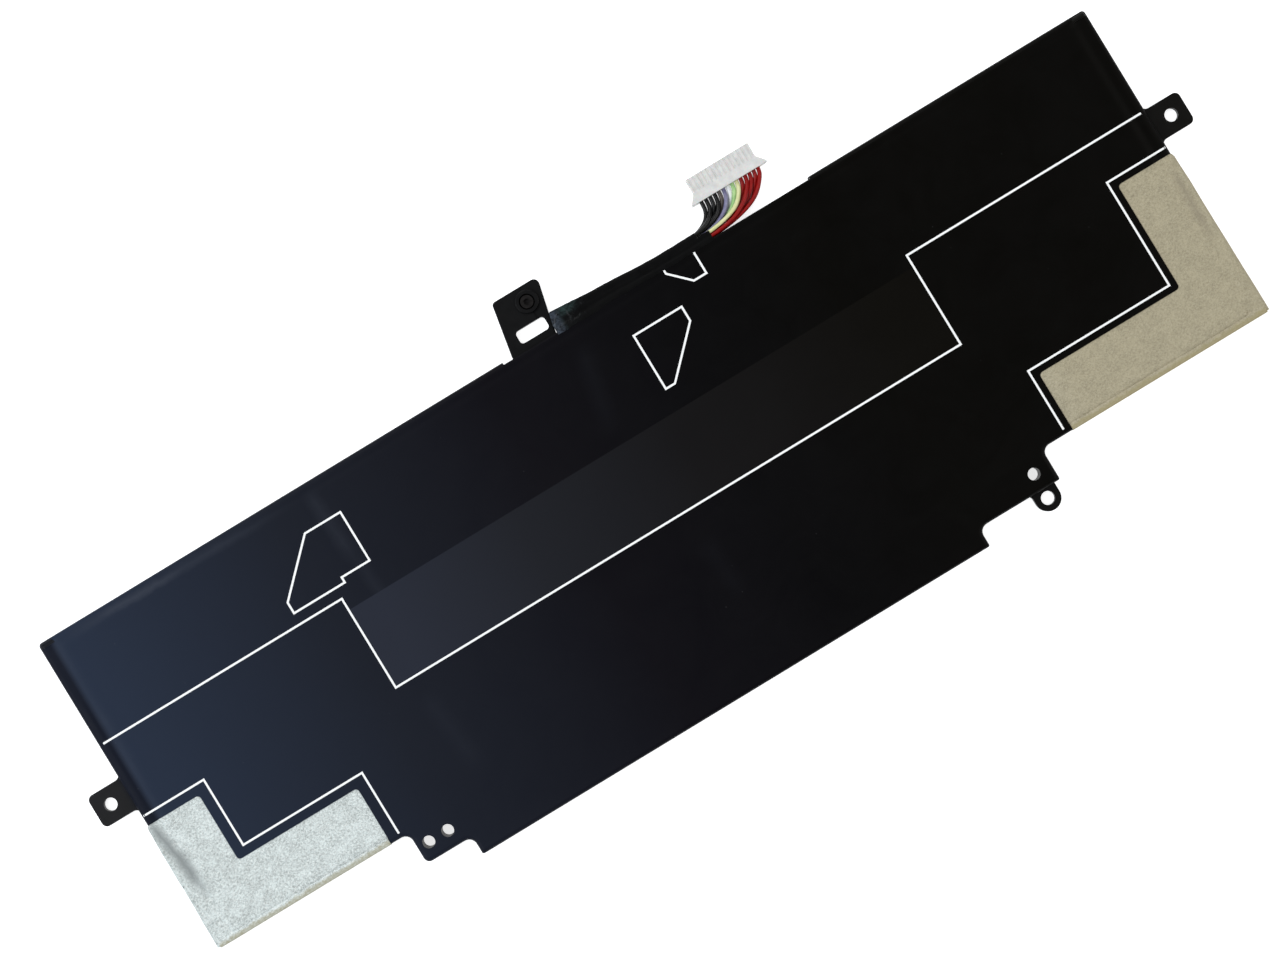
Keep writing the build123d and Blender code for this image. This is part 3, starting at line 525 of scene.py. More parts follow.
def rounded_ring(half_wide, half_tall, corner, count):
    """Points round a rectangle with round corners, starting at the right and going up."""
    ring = []
    for k in range(count):
        angle = 2 * pi * (k + 0.5) / count
        c, s = cos(angle), sin(angle)
        # the ray from the middle meets the straight sides or the corner circles
        reach = min(half_wide / max(abs(c), 1e-9), half_tall / max(abs(s), 1e-9))
        x, y = c * reach, s * reach
        in_x, in_y = half_wide - corner, half_tall - corner
        if abs(x) > in_x and abs(y) > in_y:
            cx, cy = in_x * (1 if x > 0 else -1), in_y * (1 if y > 0 else -1)
            b = c * cx + s * cy
            reach = b + max(b * b - (cx * cx + cy * cy - corner * corner), 0) ** 0.5
            x, y = c * reach, s * reach
        ring.append((x, y, angle))
    return ring


sleeve_ring = rounded_ring(SLEEVE_HALF_WIDE, SLEEVE_HALF_TALL, SLEEVE_CORNER, SLEEVE_SIDES)


def sleeve_section(t, s):
    """The sleeve's ring at arc s, stepped where the tape laps over itself, and creased."""
    out = []
    for x, y, angle in sleeve_ring:
        wrap = ((s / WRAP_PITCH + angle / (2 * pi)) % 1.0) * WRAP_STEP
        crease = WRAP_CREASE * noise.noise(Vector((s * 0.8, 3 * cos(angle), 3 * sin(angle))))
        grow = 1 + (wrap + crease - WRAP_MEAN) / hypot(x, y)
        out.append((x * grow, y * grow))
    return out


bundle = [Vector(p) for p in bundle_points(1, MID_Z)]
sleeve_first = bundle[2] + (bundle[3] - bundle[2]) * SLEEVE_START
sleeve_route = smooth_route([sleeve_first, *bundle[3:], Vector(SLEEVE_END)], SLEEVE_STEP)
new_piece(
    "sleeve_wrap", *ring_tube(sleeve_route, sleeve_section), "black_tape", ("harness_sleeve",),
    sharp=60,
)

# A flap of the same tape that holds the bundle down on the film's edge. It starts on the bundle,
# further out by each reach where the bundle is, narrows at its left end, and ends on the film
FLAP_X0, FLAP_X1 = 137.0, 171.6
FLAP_T, FLAP_TOP, FLAP_LIFT = 0.06, 4.62, 0.02
FLAP_ALONG, FLAP_ACROSS = 120, 16
FLAP_START_D, FLAP_END_D = -1.0, 1.1
LEFT_REACH, LEFT_REACH_X, RIGHT_REACH, RIGHT_REACH_X = 0.85, (139, 158), 0.25, (165, 171)
FLAP_TAPER, FLAP_TAPER_X = 0.9, (FLAP_X0, FLAP_X0 + 2.5)
FLAP_HOLLOW = (0.42, 0.16, -0.10)


def flap_mesh():
    """The flap's upper and lower faces and its rim, cut into rows across it."""
    verts, faces = [], []
    for lift in (FLAP_T, 0.0):
        for i in range(FLAP_ALONG + 1):
            x = FLAP_X0 + (FLAP_X1 - FLAP_X0) * i / FLAP_ALONG
            start_d = FLAP_START_D - LEFT_REACH * (1 - ramp(x, *LEFT_REACH_X))
            start_d -= RIGHT_REACH * ramp(x, *RIGHT_REACH_X)
            start_d += FLAP_TAPER * (1 - ramp(x, *FLAP_TAPER_X))
            free_d = FLAP_END_D + 0.30 * waves(x, 0, 5, 4.4) + 0.12 * waves(x, 0, 1.3, 1.9)
            for k in range(FLAP_ACROSS + 1):
                t = k / FLAP_ACROSS
                d = start_d + (free_d - start_d) * t
                z = FLAP_TOP + (FILM_TOP + FLAP_LIFT - FLAP_TOP) * ramp(t, 0.1, 0.7)
                z += fold(t, FLAP_HOLLOW)
                crease = 0.05 * waves(x, d * 2, 1.5, 5.5) * (1 - ramp(t, 0.45, 0.75))
                verts.append(place(x, d, z + crease + lift))
    row = FLAP_ACROSS + 1
    sheet = row * (FLAP_ALONG + 1)
    for i in range(FLAP_ALONG):
        for k in range(FLAP_ACROSS):
            a = i * row + k
            faces.append([a, a + row, a + row + 1, a + 1])
            faces.append([sheet + a, sheet + a + 1, sheet + a + row + 1, sheet + a + row])
    for k in range(FLAP_ACROSS):
        for a, b in ((k, k + 1), (FLAP_ALONG * row + k + 1, FLAP_ALONG * row + k)):
            faces.append([a, b, sheet + b, sheet + a])
    for i in range(FLAP_ALONG):
        a, b = i * row, (i + 1) * row
        faces.append([b, a, sheet + a, sheet + b])
        a, b = a + FLAP_ACROSS, b + FLAP_ACROSS
        faces.append([a, b, sheet + b, sheet + a])
    return verts, faces


new_piece("bundle_flap", *flap_mesh(), "black_tape", sharp=60)

# Clear tape, creased over the wires' bend and stuck down on the film's edge. Its outer edge runs
# out to a corner beside the ear, and a skirt hangs down from it
COVER_R = BEND_X - CHANNEL_X + WIRE_D / 2 + 0.1
COVER_X0, COVER_X1 = 131.95, 140.4
COVER_CORNER_X, COVER_CORNER_D, COVER_SLOPE = 132.85, -4.05, 0.085
COVER_INNER_D, COVER_RAGGED, COVER_TAPER_X = 1.30, 0.25, 136.5
COVER_TOP, COVER_T = 4.50, 0.05
COVER_CLIMB, CLIMB_D = 0.14, (-0.8, 0.5)
COVER_FALL, FALL_OVER = 1.3, (0.0, 2.4)
COVER_SKIRT, SKIRT_DROP = 0.16, 2.4
COVER_ALONG, COVER_ACROSS = 96, 60
CREASE_SIZE, CREASE_MEAN, CREASE_HEIGHT, CREASE_PULL = 1.5, 0.25, 0.16, 0.10
MOST_CREASE, FILM_CREASE, FILM_CREASE_D = 0.6, 0.7, (-0.3, 0.8)


def crinkle(u, v, size):
    """Sharp-edged creases, as in a stiff thin foil."""
    cell = noise.voronoi(Vector((u / size, v / size, 0.7)))[0]
    return min(cell[1] - cell[0], MOST_CREASE)


def cover_mesh():
    """A sheet from the outer edge's skirt over the bend to the inner edge on the film."""
    verts, faces = [], []
    for i in range(COVER_ALONG + 1):
        x = COVER_X0 + (COVER_X1 - COVER_X0) * i / COVER_ALONG
        if x < COVER_CORNER_X:
            outer_d = COVER_CORNER_D * ramp(x, COVER_X0 - 0.4, COVER_CORNER_X)
        else:
            outer_d = COVER_CORNER_D + COVER_SLOPE * (x - COVER_CORNER_X)
        inner_d = COVER_INNER_D + COVER_RAGGED * waves(x, 0, 2.2, 3.7)
        inner_d -= COVER_INNER_D * ramp(x, COVER_TAPER_X, COVER_X1)
        for k in range(COVER_ACROSS + 1):
            across = k / COVER_ACROSS
            t = max(across - COVER_SKIRT, 0) / (1 - COVER_SKIRT)
            d = outer_d + (inner_d - outer_d) * t
            past = hypot(x - BEND_X, d - BEND_D) - COVER_R if x < BEND_X else 0.0
            z = COVER_TOP + COVER_CLIMB * ramp(d, *CLIMB_D) - COVER_FALL * ramp(past, *FALL_OVER)
            z -= SKIRT_DROP * max(1 - across / COVER_SKIRT, 0)
            crease = crinkle(x + 0.5 * waves(x, d, 1.5, 2.0), d * 0.7 + 0.3 * x, CREASE_SIZE)
            flatter = 1 - FILM_CREASE * ramp(d, *FILM_CREASE_D)
            z += CREASE_HEIGHT * (crease - CREASE_MEAN) * flatter * ramp(t, 0.0, 0.15)
            verts.append(place(x, d - CREASE_PULL * crease * (1 - ramp(t, 0.0, 0.2)), z))
    row = COVER_ACROSS + 1
    for i in range(COVER_ALONG):
        for k in range(COVER_ACROSS):
            a = i * row + k
            faces.append([a, a + row, a + row + 1, a + 1])
    return verts, faces


cover = new_piece("bend_cover", *cover_mesh(), "clear_tape", ("exit_cover",), sharp=18)
thickness = cover.modifiers.new("thickness", "SOLIDIFY")
thickness.thickness = COVER_T * MM


# Materials
class Nodes:
    """A material's node tree with short ways to add what the finishes here share."""

    def __init__(self, name):
        self.material = bpy.data.materials.new(name)
        self.material.use_nodes = True
        self.tree = self.material.node_tree
        self.shader = self.tree.nodes["Principled BSDF"]
        self.place = self.add("ShaderNodeTexCoord").outputs["Object"]

    def add(self, kind, inputs=(), **settings):
        node = self.tree.nodes.new(kind)
        for key, value in settings.items():
            setattr(node, key, value)
        for socket, value in dict(inputs).items():
            self.feed(node.inputs[socket], value)
        return node

    def feed(self, socket, value):
        if isinstance(value, bpy.types.NodeSocket):
            self.tree.links.new(value, socket)
        else:
            socket.default_value = value

    def scaled(self, stretch):
        """The object's own coordinates, stretched."""
        return self.add(
            "ShaderNodeMapping", {"Vector": self.place, "Scale": stretch}
        ).outputs["Vector"]

    def noise(self, size_mm, detail=2.0, rough=0.5, stretch=(1, 1, 1), distortion=0.0):
        vector = self.place if stretch == (1, 1, 1) else self.scaled(stretch)
        return self.add("ShaderNodeTexNoise", {
            "Vector": vector, "Scale": 1 / (size_mm * MM), "Detail": detail, "Roughness": rough,
            "Distortion": distortion,
        }).outputs["Fac"]

    def cells(self, size_mm, feature="F1", stretch=(1, 1, 1)):
        vector = self.place if stretch == (1, 1, 1) else self.scaled(stretch)
        return self.add(
            "ShaderNodeTexVoronoi", {"Vector": vector, "Scale": 1 / (size_mm * MM)},
            feature=feature,
        ).outputs["Distance"]

    def spread(self, value, low, high, to_low=0.0, to_high=1.0):
        """The value mapped from one range to another, held at its ends."""
        return self.add("ShaderNodeMapRange", {
            "Value": value, "From Min": low, "From Max": high, "To Min": to_low, "To Max": to_high,
        }).outputs["Result"]

    def maths(self, how, a, b=0.0, clamp=False):
        return self.add("ShaderNodeMath", {0: a, 1: b}, operation=how, use_clamp=clamp).outputs[0]

    def mix(self, amount, a, b):
        node = self.add("ShaderNodeMix", {"Factor": amount}, data_type="RGBA")
        self.feed(node.inputs["A"], a)
        self.feed(node.inputs["B"], b)
        return node.outputs["Result"]

    def along(self, axis, start, end):
        """A ramp along an axis of the row frame, between two places in metres."""
        parts = self.add("ShaderNodeSeparateXYZ", {0: self.place}).outputs
        return self.spread(parts[axis], start, end)

    def streak(self, start, end, half_mm):
        """1 along a line between two places in metres, fading out to each side and at its ends."""
        (x0, y0), (x1, y1) = start, end
        length = hypot(x1 - x0, y1 - y0)
        local = self.add("ShaderNodeMapping", {
            "Vector": self.place, "Location": (x0, y0, 0),
            "Rotation": (0, 0, atan2(y1 - y0, x1 - x0)),
        }, vector_type="TEXTURE").outputs["Vector"]
        parts = self.add("ShaderNodeSeparateXYZ", {0: local}).outputs
        wander = self.spread(self.noise(3, 2), 0.3, 0.7, -0.25 * MM, 0.25 * MM)
        across = self.maths("ABSOLUTE", self.maths("ADD", parts["Y"], wander))
        near = self.spread(across, half_mm * MM, 0.0)
        ends = self.maths(
            "MULTIPLY", self.spread(parts["X"], -0.05 * length, 0.15 * length),
            self.spread(parts["X"], 1.1 * length, 0.75 * length),
        )
        return self.maths("MULTIPLY", near, ends)

    def bump(self, height, depth_mm, normal=None):
        inputs = {"Height": height, "Distance": depth_mm * MM, "Strength": 1.0}
        if normal is not None:
            inputs["Normal"] = normal
        return self.add("ShaderNodeBump", inputs).outputs["Normal"]

    def finish(self, **values):
        for name, value in values.items():
            self.feed(self.shader.inputs[name.replace("_", " ")], value)
        return self.material


def rgb(r, g, b):
    return (r, g, b, 1.0)


def painted_reflection_along(n, stops):
    """The painted reflection along the pack, from (x in metres, colour) stops."""
    colour = rgb(*stops[0][1])
    for (x0, _), (x1, tone) in zip(stops, stops[1:]):
        colour = n.mix(n.along("X", x0, x1), colour, rgb(*tone))
    return colour


def pack_point(x, d):
    return (x - BODY_W / 2) * MM, (BODY_H / 2 - d) * MM


# Painted highlights where the film bridges two cells and along its upper edge: from one (x, d) to
# another, half width in mm and strength
FILM_GLINTS = (
    ((6, 1.7), (58, 2.3), 1.5, 0.20), ((15, 1.8), (34, 2.2), 1.2, 0.26),
    ((67.6, 2), (68.8, 20), 2.4, 0.13), ((69.2, 20), (70.2, 34), 2.0, 0.07),
    ((66.4, 53), (68.4, 72), 3.0, 0.05), ((134.9, 6), (130.9, 25), 3.2, 0.03),
    ((135.6, 56), (137.0, 70), 3.2, 0.02),
)
GLINT_TONE = rgb(0.062, 0.070, 0.092)
# Painted shade where the film slopes down over the left seal, fading out between two x in mm
SEAL_PAINTED_SHADE, SEAL_PAINTED_SHADE_X = rgb(0.0065, 0.0085, 0.0165), (2.3, 3.7)
FILM_MOTTLE, DUST_TONE = rgb(0.015, 0.015, 0.016), rgb(0.4, 0.4, 0.4)


def film_material(name, stops, smooth, level=0.06, painted_glints=()):
    """Black printed film: a fine satin grain, faint handling marks, a little dust, painted shade
    over the left seal, a painted reflection along the pack and painted glints.
    """
    n = Nodes(name)
    mottle = n.noise(22, 3, 0.6)
    # Painted shade over the left seal, laid over the painted reflection along the pack
    rolled = n.along("X", *(pack_point(x, 0)[0] for x in SEAL_PAINTED_SHADE_X))
    tone = n.mix(rolled, SEAL_PAINTED_SHADE, painted_reflection_along(n, stops))
    colour = n.mix(n.spread(mottle, 0.35, 0.75, 0.0, 0.06), tone, FILM_MOTTLE)
    # Painted highlights along each glint's line
    for start, end, half, gain in painted_glints:
        band = n.streak(pack_point(*start), pack_point(*end), half)
        colour = n.mix(n.maths("MULTIPLY", band, gain), colour, GLINT_TONE)
    dust = n.spread(n.cells(3.4), 0.040, 0.028)
    keep = n.spread(n.noise(9, 1), 0.57, 0.63)
    dust = n.maths("MULTIPLY", dust, keep)
    colour = n.mix(n.maths("MULTIPLY", dust, 0.05), colour, DUST_TONE)
    scuff = n.noise(14, 4, 0.65, distortion=1.2)
    roughness = n.spread(scuff, 0.3, 0.7, smooth - 0.06, smooth + 0.07)
    grain = n.bump(n.noise(0.16, 1), 0.004)
    normal = n.bump(n.noise(3.2, 2), 0.02, grain)
    return n.finish(
        Base_Color=colour, Roughness=roughness, Normal=normal, Specular_IOR_Level=level,
    )


def print_material():
    """Screen printed ink, worn a little."""
    n = Nodes("screen_print")
    worn = n.spread(n.noise(0.5, 3), 0.25, 0.45)
    colour = n.mix(worn, rgb(0.92, 0.93, 0.92), rgb(1.0, 1.0, 0.99))
    normal = n.bump(n.noise(0.2, 2), 0.006)
    return n.finish(Base_Color=colour, Roughness=0.55, Normal=normal)


def strip_material():
    """The matte panel: duller than the film, with a fine grain and a painted reflection along the
    pack.
    """
    n = Nodes("matte_panel")
    mottle = n.noise(18, 3, 0.6)
    grain = n.noise(0.22, 2)
    tone = painted_reflection_along(n, STRIP_PAINTED_REFLECTION)
    colour = n.mix(n.spread(mottle, 0.3, 0.7, 0.0, 0.06), tone, rgb(0.020, 0.019, 0.019))
    roughness = n.spread(grain, 0.3, 0.7, 0.58, 0.72)
    return n.finish(
        Base_Color=colour, Roughness=roughness, Normal=n.bump(grain, 0.008),
        Specular_IOR_Level=0.06,
    )


# Left and right ends of the laminate's change of tone, and its tones there
LAMINATE_X = (-0.09, 0.09)
LAMINATE_BASE = rgb(0.73, 0.80, 0.785), rgb(0.445, 0.390, 0.262)
LAMINATE_DARK = rgb(0.24, 0.265, 0.255), rgb(0.265, 0.230, 0.150)
LAMINATE_LIGHT = rgb(0.97, 0.99, 0.95), rgb(0.52, 0.47, 0.34)
CREASE_SHADE = rgb(0.25, 0.27, 0.265), rgb(0.22, 0.19, 0.14)
TAN_TONE = rgb(0.37, 0.345, 0.23), rgb(0.33, 0.28, 0.14)


def laminate(n, across):
    """Colour, grain and weave of the matte laminate, whose tone changes across the pack."""
    fine = n.noise(0.50, 4, 0.8, (1, 1.25, 1), 0.8)
    cloud = n.spread(n.noise(2.6, 4, 0.65), 0.35, 0.65, 0, 0.36)
    pale = n.maths("MINIMUM", n.maths("ADD", n.spread(fine, 0.40, 0.58, 0, 0.76), cloud), 1.0)
    colour = n.mix(pale, n.mix(across, *LAMINATE_DARK), n.mix(across, *LAMINATE_BASE))
    weave = n.maths(
        "ADD", n.noise(0.5, 1, 0.5, (1, 7, 1)), n.noise(0.5, 1, 0.5, (7, 1, 1)),
    )
    light = n.mix(across, *LAMINATE_LIGHT)
    return n.mix(n.spread(weave, 0.98, 1.22, 0.0, 0.75), colour, light), fine, weave


# The pouches' crease shades: the crease, the way from its seal, strength and half width
POUCH_SHADES = (
    (LEFT_CREASE, 1, 0.95, 1.9), (LEFT_CREASE, 1, 0.35, 3.0), (RIGHT_CREASE, -1, 0.42, 1.6),
)


def pouch_material():
    """The cell's laminate, creased beside its seal with painted shade along each crease, and a few
    dark specks.
    """
    n = Nodes("pouch_laminate")
    across = n.along("X", *LAMINATE_X)
    colour, fine, weave = laminate(n, across)
    for crease, sign, strength, half in POUCH_SHADES:
        ends = [
            (sign * (side - BODY_W / 2) * MM, (BODY_H / 2 - d) * MM) for side, d in crease
        ]
        shade = n.maths("MULTIPLY", n.streak(*ends, half), strength)
        colour = n.mix(shade, colour, n.mix(across, *CREASE_SHADE))
    speck = n.spread(n.cells(5.2), 0.055, 0.035)
    speck = n.maths("MULTIPLY", speck, n.spread(n.noise(11, 1), 0.50, 0.56))
    colour = n.mix(speck, colour, rgb(0.05, 0.05, 0.05))
    normal = n.bump(fine, 0.035, n.bump(weave, 0.02))
    return n.finish(
        Base_Color=colour, Roughness=n.spread(fine, 0.3, 0.7, 0.48, 0.66), Normal=normal,
        Specular_IOR_Level=0.35,
    )


def plastic_material(
    name, base, tint, roughness, grain_mm=0.12, depth=0.006, level=0.5, stops=(),
):
    """Moulded plastic: a spark-eroded grain and faint flow marks, and a painted reflection along
    the pack where its stops are given.
    """
    n = Nodes(name)
    flow = n.noise(6, 3, 0.55, (1, 2.2, 1), 0.6)
    colour = n.mix(n.spread(flow, 0.3, 0.7), rgb(*base), rgb(*tint))
    if stops:
        colour = n.mix(n.spread(flow, 0.3, 0.7, 0.85, 0.6), colour, painted_reflection_along(n, stops))
    grain = n.noise(grain_mm, 2)
    rough = n.spread(n.noise(1.4, 2), 0.3, 0.7, roughness - 0.05, roughness + 0.06)
    return n.finish(
        Base_Color=colour, Roughness=rough, Normal=n.bump(grain, depth), Specular_IOR_Level=level,
    )


# The tape is tan within TAN_MARGIN of the laminate's bare edge
TAN_EDGE_D, TAN_MARGIN = 76.5, 1.15


def tan_tape_material():
    """Clear tape that shows the laminate, yellowed and ragged along the bare end."""
    n = Nodes("tan_tape")
    across = n.along("X", *LAMINATE_X)
    clear, fine, weave = laminate(n, across)
    tan_tone = n.mix(across, *TAN_TONE)
    edge = pack_point(0, TAN_EDGE_D)[1]
    near_edge = n.maths("MULTIPLY", n.along("Y", edge + TAN_MARGIN * MM, edge), 1.7)
    ragged = n.spread(n.noise(1.6, 4, 0.7), 0.3, 0.7)
    near_edge = n.maths("SUBTRACT", near_edge, ragged, clamp=True)
    colour = n.mix(near_edge, clear, n.mix(n.spread(fine, 0.35, 0.6), tan_tone, clear))
    colour = n.mix(n.maths("MULTIPLY", near_edge, 0.55), colour, tan_tone)
    normal = n.bump(n.noise(0.6, 2), 0.03, n.bump(weave, 0.02))
    return n.finish(Base_Color=colour, Roughness=0.55, Normal=normal)


def black_tape_material():
    """Thin black tape, drawn tight, with fine lines across it."""
    n = Nodes("wound_tape")
    mottle = n.noise(2.5, 3, 0.6)
    colour = n.mix(mottle, rgb(0.0008, 0.0008, 0.0009), rgb(0.0026, 0.0025, 0.0026))
    rough = n.spread(mottle, 0.3, 0.7, 0.40, 0.58)
    normal = n.bump(n.noise(0.35, 2, 0.5, (3, 1, 1)), 0.012)
    return n.finish(
        Base_Color=colour, Roughness=rough, Normal=normal, Specular_IOR_Level=0.07,
    )


# Where painted glints show on the clear tape: beside the ear, along its outer edge, and where both
# end
EAR_X, OUTER_D, GLEAM_END_X = (134.9, 133.7), (-1.5, -2.5), (139.5, 137.6)
EDGE_GLEAM, EAR_GLEAM = rgb(0.026, 0.048, 0.046), rgb(0.050, 0.062, 0.082)


def clear_tape_material():
    """Clear tape over black wires, with painted glints: blue-grey beside the ear and green along
    its outer edge.
    """
    n = Nodes("clear_tape")
    patch = n.noise(1.7, 4, 0.75, distortion=1.2)
    beside_ear = n.along("X", *(pack_point(x, 0)[0] for x in EAR_X))
    outer_edge = n.along("Y", *(pack_point(0, d)[1] for d in OUTER_D))
    ending = n.along("X", *(pack_point(x, 0)[0] for x in GLEAM_END_X))
    shown = n.maths("MULTIPLY", n.maths("MAXIMUM", beside_ear, outer_edge), ending)
    tone = n.mix(beside_ear, EDGE_GLEAM, EAR_GLEAM)
    glint = n.maths("MULTIPLY", n.spread(patch, 0.36, 0.66), shown)
    colour = n.mix(glint, rgb(0.0008, 0.0010, 0.0012), tone)
    # A few brighter painted highlights beside the ear
    painted_highlight = n.maths("MULTIPLY", n.spread(patch, 0.66, 0.74), beside_ear)
    colour = n.mix(painted_highlight, colour, rgb(0.30, 0.34, 0.40))
    rough = n.spread(patch, 0.3, 0.7, 0.20, 0.34)
    return n.finish(Base_Color=colour, Roughness=rough, Specular_IOR_Level=0.18)


def wire_material(name, base, tint, level=0.5, roughness=0.34):
    """Extruded insulation: a soft gloss with faint rings from the die."""
    n = Nodes(name)
    colour = n.mix(n.spread(n.noise(1.6, 2), 0.3, 0.7), rgb(*base), rgb(*tint))
    rough = n.spread(n.noise(0.8, 2), 0.3, 0.7, roughness - 0.06, roughness + 0.08)
    normal = n.bump(n.noise(0.25, 1), 0.004)
    return n.finish(
        Base_Color=colour, Roughness=rough, Normal=normal, Specular_IOR_Level=level,
    )


def plug_material():
    """Natural nylon: slightly milky, with sink marks between the ways."""
    n = Nodes("plug_nylon")
    cloud = n.noise(1.5, 3, 0.6)
    colour = n.mix(n.spread(cloud, 0.3, 0.7), rgb(0.66, 0.65, 0.63), rgb(0.78, 0.77, 0.75))
    sink = n.noise(0.5, 2)
    return n.finish(
        Base_Color=colour, Roughness=n.spread(sink, 0.3, 0.7, 0.34, 0.48),
        Normal=n.bump(sink, 0.02), Subsurface_Weight=0.12, Subsurface_Scale=0.4 * MM,
    )


def metal_material(name, base, tint, roughness, drawn=(1, 12, 1)):
    """Rolled or drawn metal: fine lines one way and a little tarnish."""
    n = Nodes(name)
    lines = n.noise(0.5, 2, 0.6, drawn)
    tarnish = n.noise(2.2, 3, 0.6)
    colour = n.mix(n.spread(tarnish, 0.35, 0.75), rgb(*base), rgb(*tint))
    rough = n.spread(lines, 0.3, 0.7, roughness - 0.08, roughness + 0.1)
    return n.finish(Base_Color=colour, Metallic=1.0, Roughness=rough, Normal=n.bump(lines, 0.004))


# Painted reflection along the pack, lighter and bluer at its left end, from its left end to its
# right: (x in metres, colour)
FILM_PAINTED_REFLECTION = (
    (-0.130, (0.0185, 0.0275, 0.0500)), (-0.075, (0.0105, 0.0128, 0.0205)),
    (-0.020, (0.0038, 0.0033, 0.0054)), (0.020, (0.0014, 0.0012, 0.0016)),
    (0.055, (0.0010, 0.0007, 0.0002)),
)
STRIP_PAINTED_REFLECTION = (
    (-0.065, (0.0215, 0.0250, 0.0380)), (-0.030, (0.0130, 0.0140, 0.0185)),
    (0.010, (0.0060, 0.0054, 0.0060)), (0.060, (0.0020, 0.0014, 0.0004)),
)
# The frame's stops also hold a painted navy shade over the first few mm at its left end
FRAME_PAINTED_REFLECTION = (
    (-0.1345, (0.0110, 0.0105, 0.0115)), (-0.1335, (0.0045, 0.0060, 0.0115)),
    (-0.1290, (0.0045, 0.0060, 0.0115)), (-0.060, (0.0060, 0.0060, 0.0070)),
    (0.000, (0.0030, 0.0029, 0.0032)), (0.120, (0.0022, 0.0018, 0.0009)),
)
PLAIN_PAINTED_REFLECTION = ((-0.1, (0.0060, 0.0060, 0.0070)), (0.1, (0.0050, 0.0050, 0.0050)))

finishes = {
    "black_film": film_material("black_film_face", FILM_PAINTED_REFLECTION, 0.42, painted_glints=FILM_GLINTS),
    "plain_film": film_material("plain_film_face", PLAIN_PAINTED_REFLECTION, 0.38, 0.3),
    "white_print": print_material(),
    "charcoal_strip": strip_material(),
    "pouch": pouch_material(),
    "frame_plastic": plastic_material(
        "frame_plastic", (0.0016, 0.0015, 0.0014), (0.0040, 0.0036, 0.0033), 0.40, level=0.12,
        stops=FRAME_PAINTED_REFLECTION,
    ),
    "tan_tape": tan_tape_material(),
    "black_tape": black_tape_material(),
    "clear_tape": clear_tape_material(),
    "foil_aluminium": metal_material(
        "rolled_aluminium", (0.80, 0.80, 0.80), (0.66, 0.67, 0.68), 0.35,
    ),
    "foil_nickel": metal_material("rolled_nickel", (0.62, 0.59, 0.54), (0.50, 0.47, 0.42), 0.32),
    "board": plastic_material(
        "solder_mask", (0.010, 0.055, 0.030), (0.016, 0.075, 0.040), 0.30, 0.4, 0.01,
    ),
    "chip_case": plastic_material("chip_case", (0.018, 0.018, 0.018), (0.028, 0.028, 0.028), 0.52),
    "ceramic_chip": plastic_material("fired_ceramic", (0.42, 0.34, 0.25), (0.50, 0.42, 0.32), 0.45),
    "potting": plastic_material(
        "potting", (0.52, 0.52, 0.50), (0.62, 0.62, 0.60), 0.42, 1.2, 0.05,
    ),
    "insert_metal": metal_material(
        "dull_insert", (0.030, 0.027, 0.026), (0.014, 0.013, 0.013), 0.40, (1, 1, 1),
    ),
    "plug_plastic": plug_material(),
    "contact_metal": metal_material("plated_contact", (0.74, 0.66, 0.46), (0.62, 0.54, 0.36), 0.28),
    "wire_black": wire_material(
        "wire_black", (0.0015, 0.0015, 0.0016), (0.0030, 0.0030, 0.0032), 0.30, 0.26,
    ),
    "wire_brown": wire_material("wire_brown", (0.060, 0.044, 0.036), (0.090, 0.070, 0.060)),
    "wire_violet": wire_material("wire_violet", (0.14, 0.13, 0.24), (0.27, 0.26, 0.40)),
    "wire_white": wire_material("wire_white", (0.82, 0.83, 0.85), (0.88, 0.89, 0.90)),
    "wire_green": wire_material("wire_green", (0.30, 0.56, 0.20), (0.46, 0.68, 0.30)),
    "wire_yellow": wire_material("wire_yellow", (0.70, 0.72, 0.34), (0.80, 0.80, 0.46)),
    "wire_red": wire_material(
        "wire_red", (0.230, 0.0012, 0.0010), (0.310, 0.0040, 0.0030), 0.22,
    ),
}
slot_of = {s["node"]: s["material_slot"] for s in frame["record"]["subparts"]}
for name, node in nodes.items():
    node.data.materials.clear()
    node.data.materials.append(finishes[slot_of[name]])
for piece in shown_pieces():
    if "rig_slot" in piece and not piece.data.materials:
        piece.data.materials.append(finishes[piece["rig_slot"]])


# Floor and light
FLOOR_HALF = 3.0
FLOOR_GLOW = 0.75
WORLD_TINT, WORLD_POWER = rgb(0.92, 0.96, 1.0), 0.35


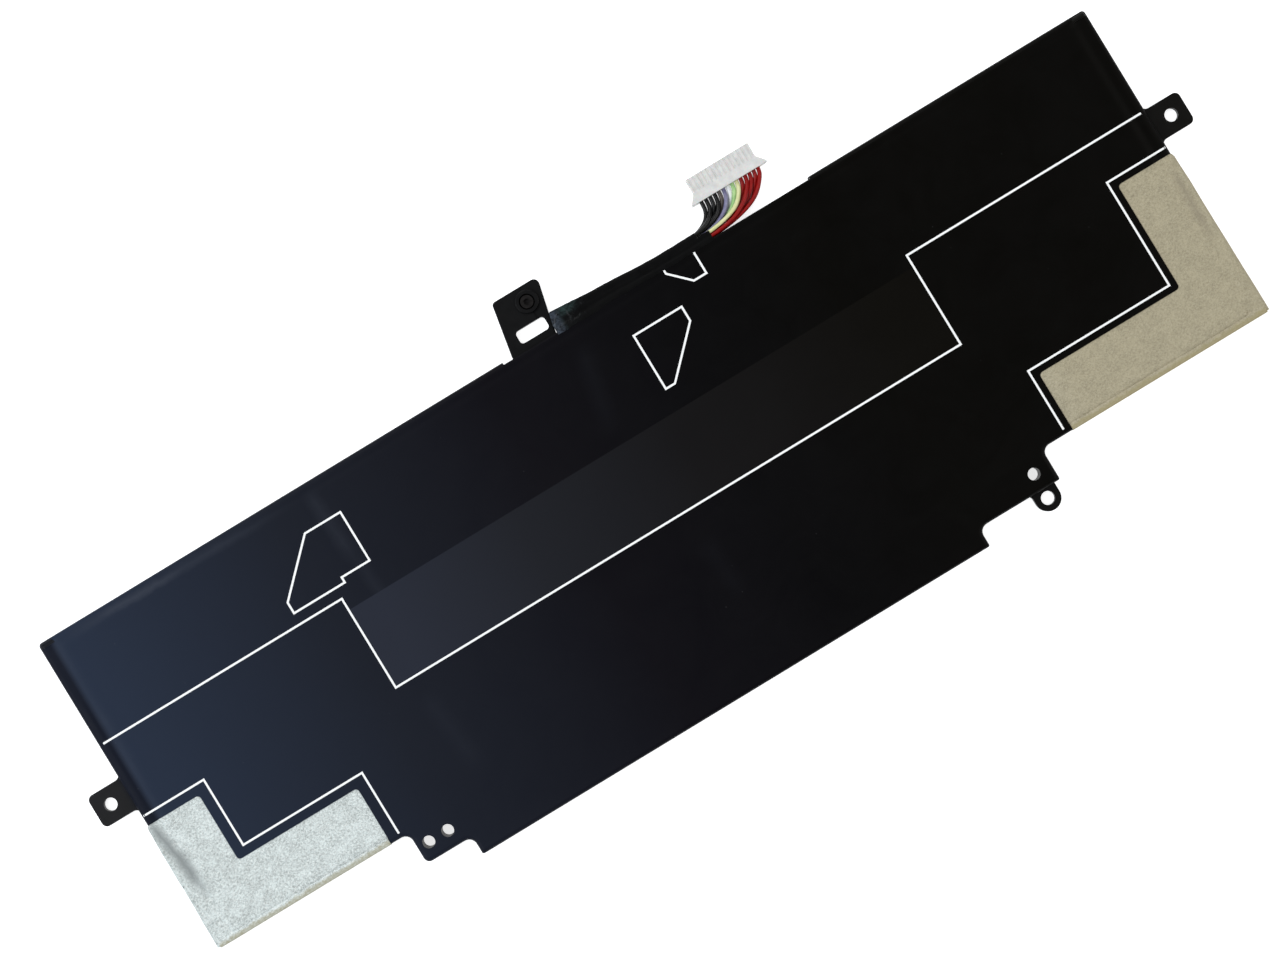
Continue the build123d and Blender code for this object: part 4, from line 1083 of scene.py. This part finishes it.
def floor_material():
    """A pale floor that the camera sees as white where nothing shades it."""
    n = Nodes("floor")
    n.finish(Base_Color=rgb(0.86, 0.86, 0.86), Roughness=0.9)
    glow = n.add("ShaderNodeEmission", {"Color": rgb(1, 1, 1)})
    seen = n.add("ShaderNodeLightPath").outputs
    shown = n.maths("ADD", seen["Is Camera Ray"], seen["Is Glossy Ray"], True)
    n.feed(glow.inputs["Strength"], n.maths("MULTIPLY", shown, FLOOR_GLOW))
    both = n.add("ShaderNodeAddShader", {0: n.shader.outputs[0], 1: glow.outputs[0]})
    output = n.tree.nodes["Material Output"]
    n.feed(output.inputs["Surface"], both.outputs[0])
    return n.material


corners = [
    (x * FLOOR_HALF, y * FLOOR_HALF, 0) for x, y in ((-1, -1), (1, -1), (1, 1), (-1, 1))
]
floor_mesh = bpy.data.meshes.new("floor")
floor_mesh.from_pydata(corners, [], [[0, 1, 2, 3]])
floor_mesh.materials.append(floor_material())
floor = bpy.data.objects.new("floor", floor_mesh)
bpy.context.scene.collection.objects.link(floor)

world = bpy.data.worlds.new("room")
world.use_nodes = True
background = world.node_tree.nodes["Background"]
background.inputs["Color"].default_value = WORLD_TINT
background.inputs["Strength"].default_value = WORLD_POWER
bpy.context.scene.world = world


def softbox(name, azimuth, elevation, distance, size, power, colour=(1, 1, 1)):
    """A square lamp that faces the pack from the given bearing, in degrees and metres."""
    a, e = radians(azimuth), radians(elevation)
    data = bpy.data.lights.new(name, "AREA")
    data.size = size
    data.energy = power
    data.color = colour
    lamp = bpy.data.objects.new(name, data)
    lamp.location = distance * Vector((cos(a) * cos(e), sin(a) * cos(e), sin(e)))
    lamp.rotation_euler = (-lamp.location).to_track_quat("-Z", "Y").to_euler()
    bpy.context.scene.collection.objects.link(lamp)


softbox("window", 165, 48, 1.1, 0.8, 7.1, (0.90, 0.95, 1.0))
softbox("fill", -20, 40, 1.2, 0.9, 4.3, (1.0, 0.97, 0.93))
softbox("back", 85, 42, 1.2, 0.8, 3.8, (1.0, 0.99, 0.97))

bpy.context.scene.view_settings.view_transform = "Standard"

bpy.context.view_layer.update()
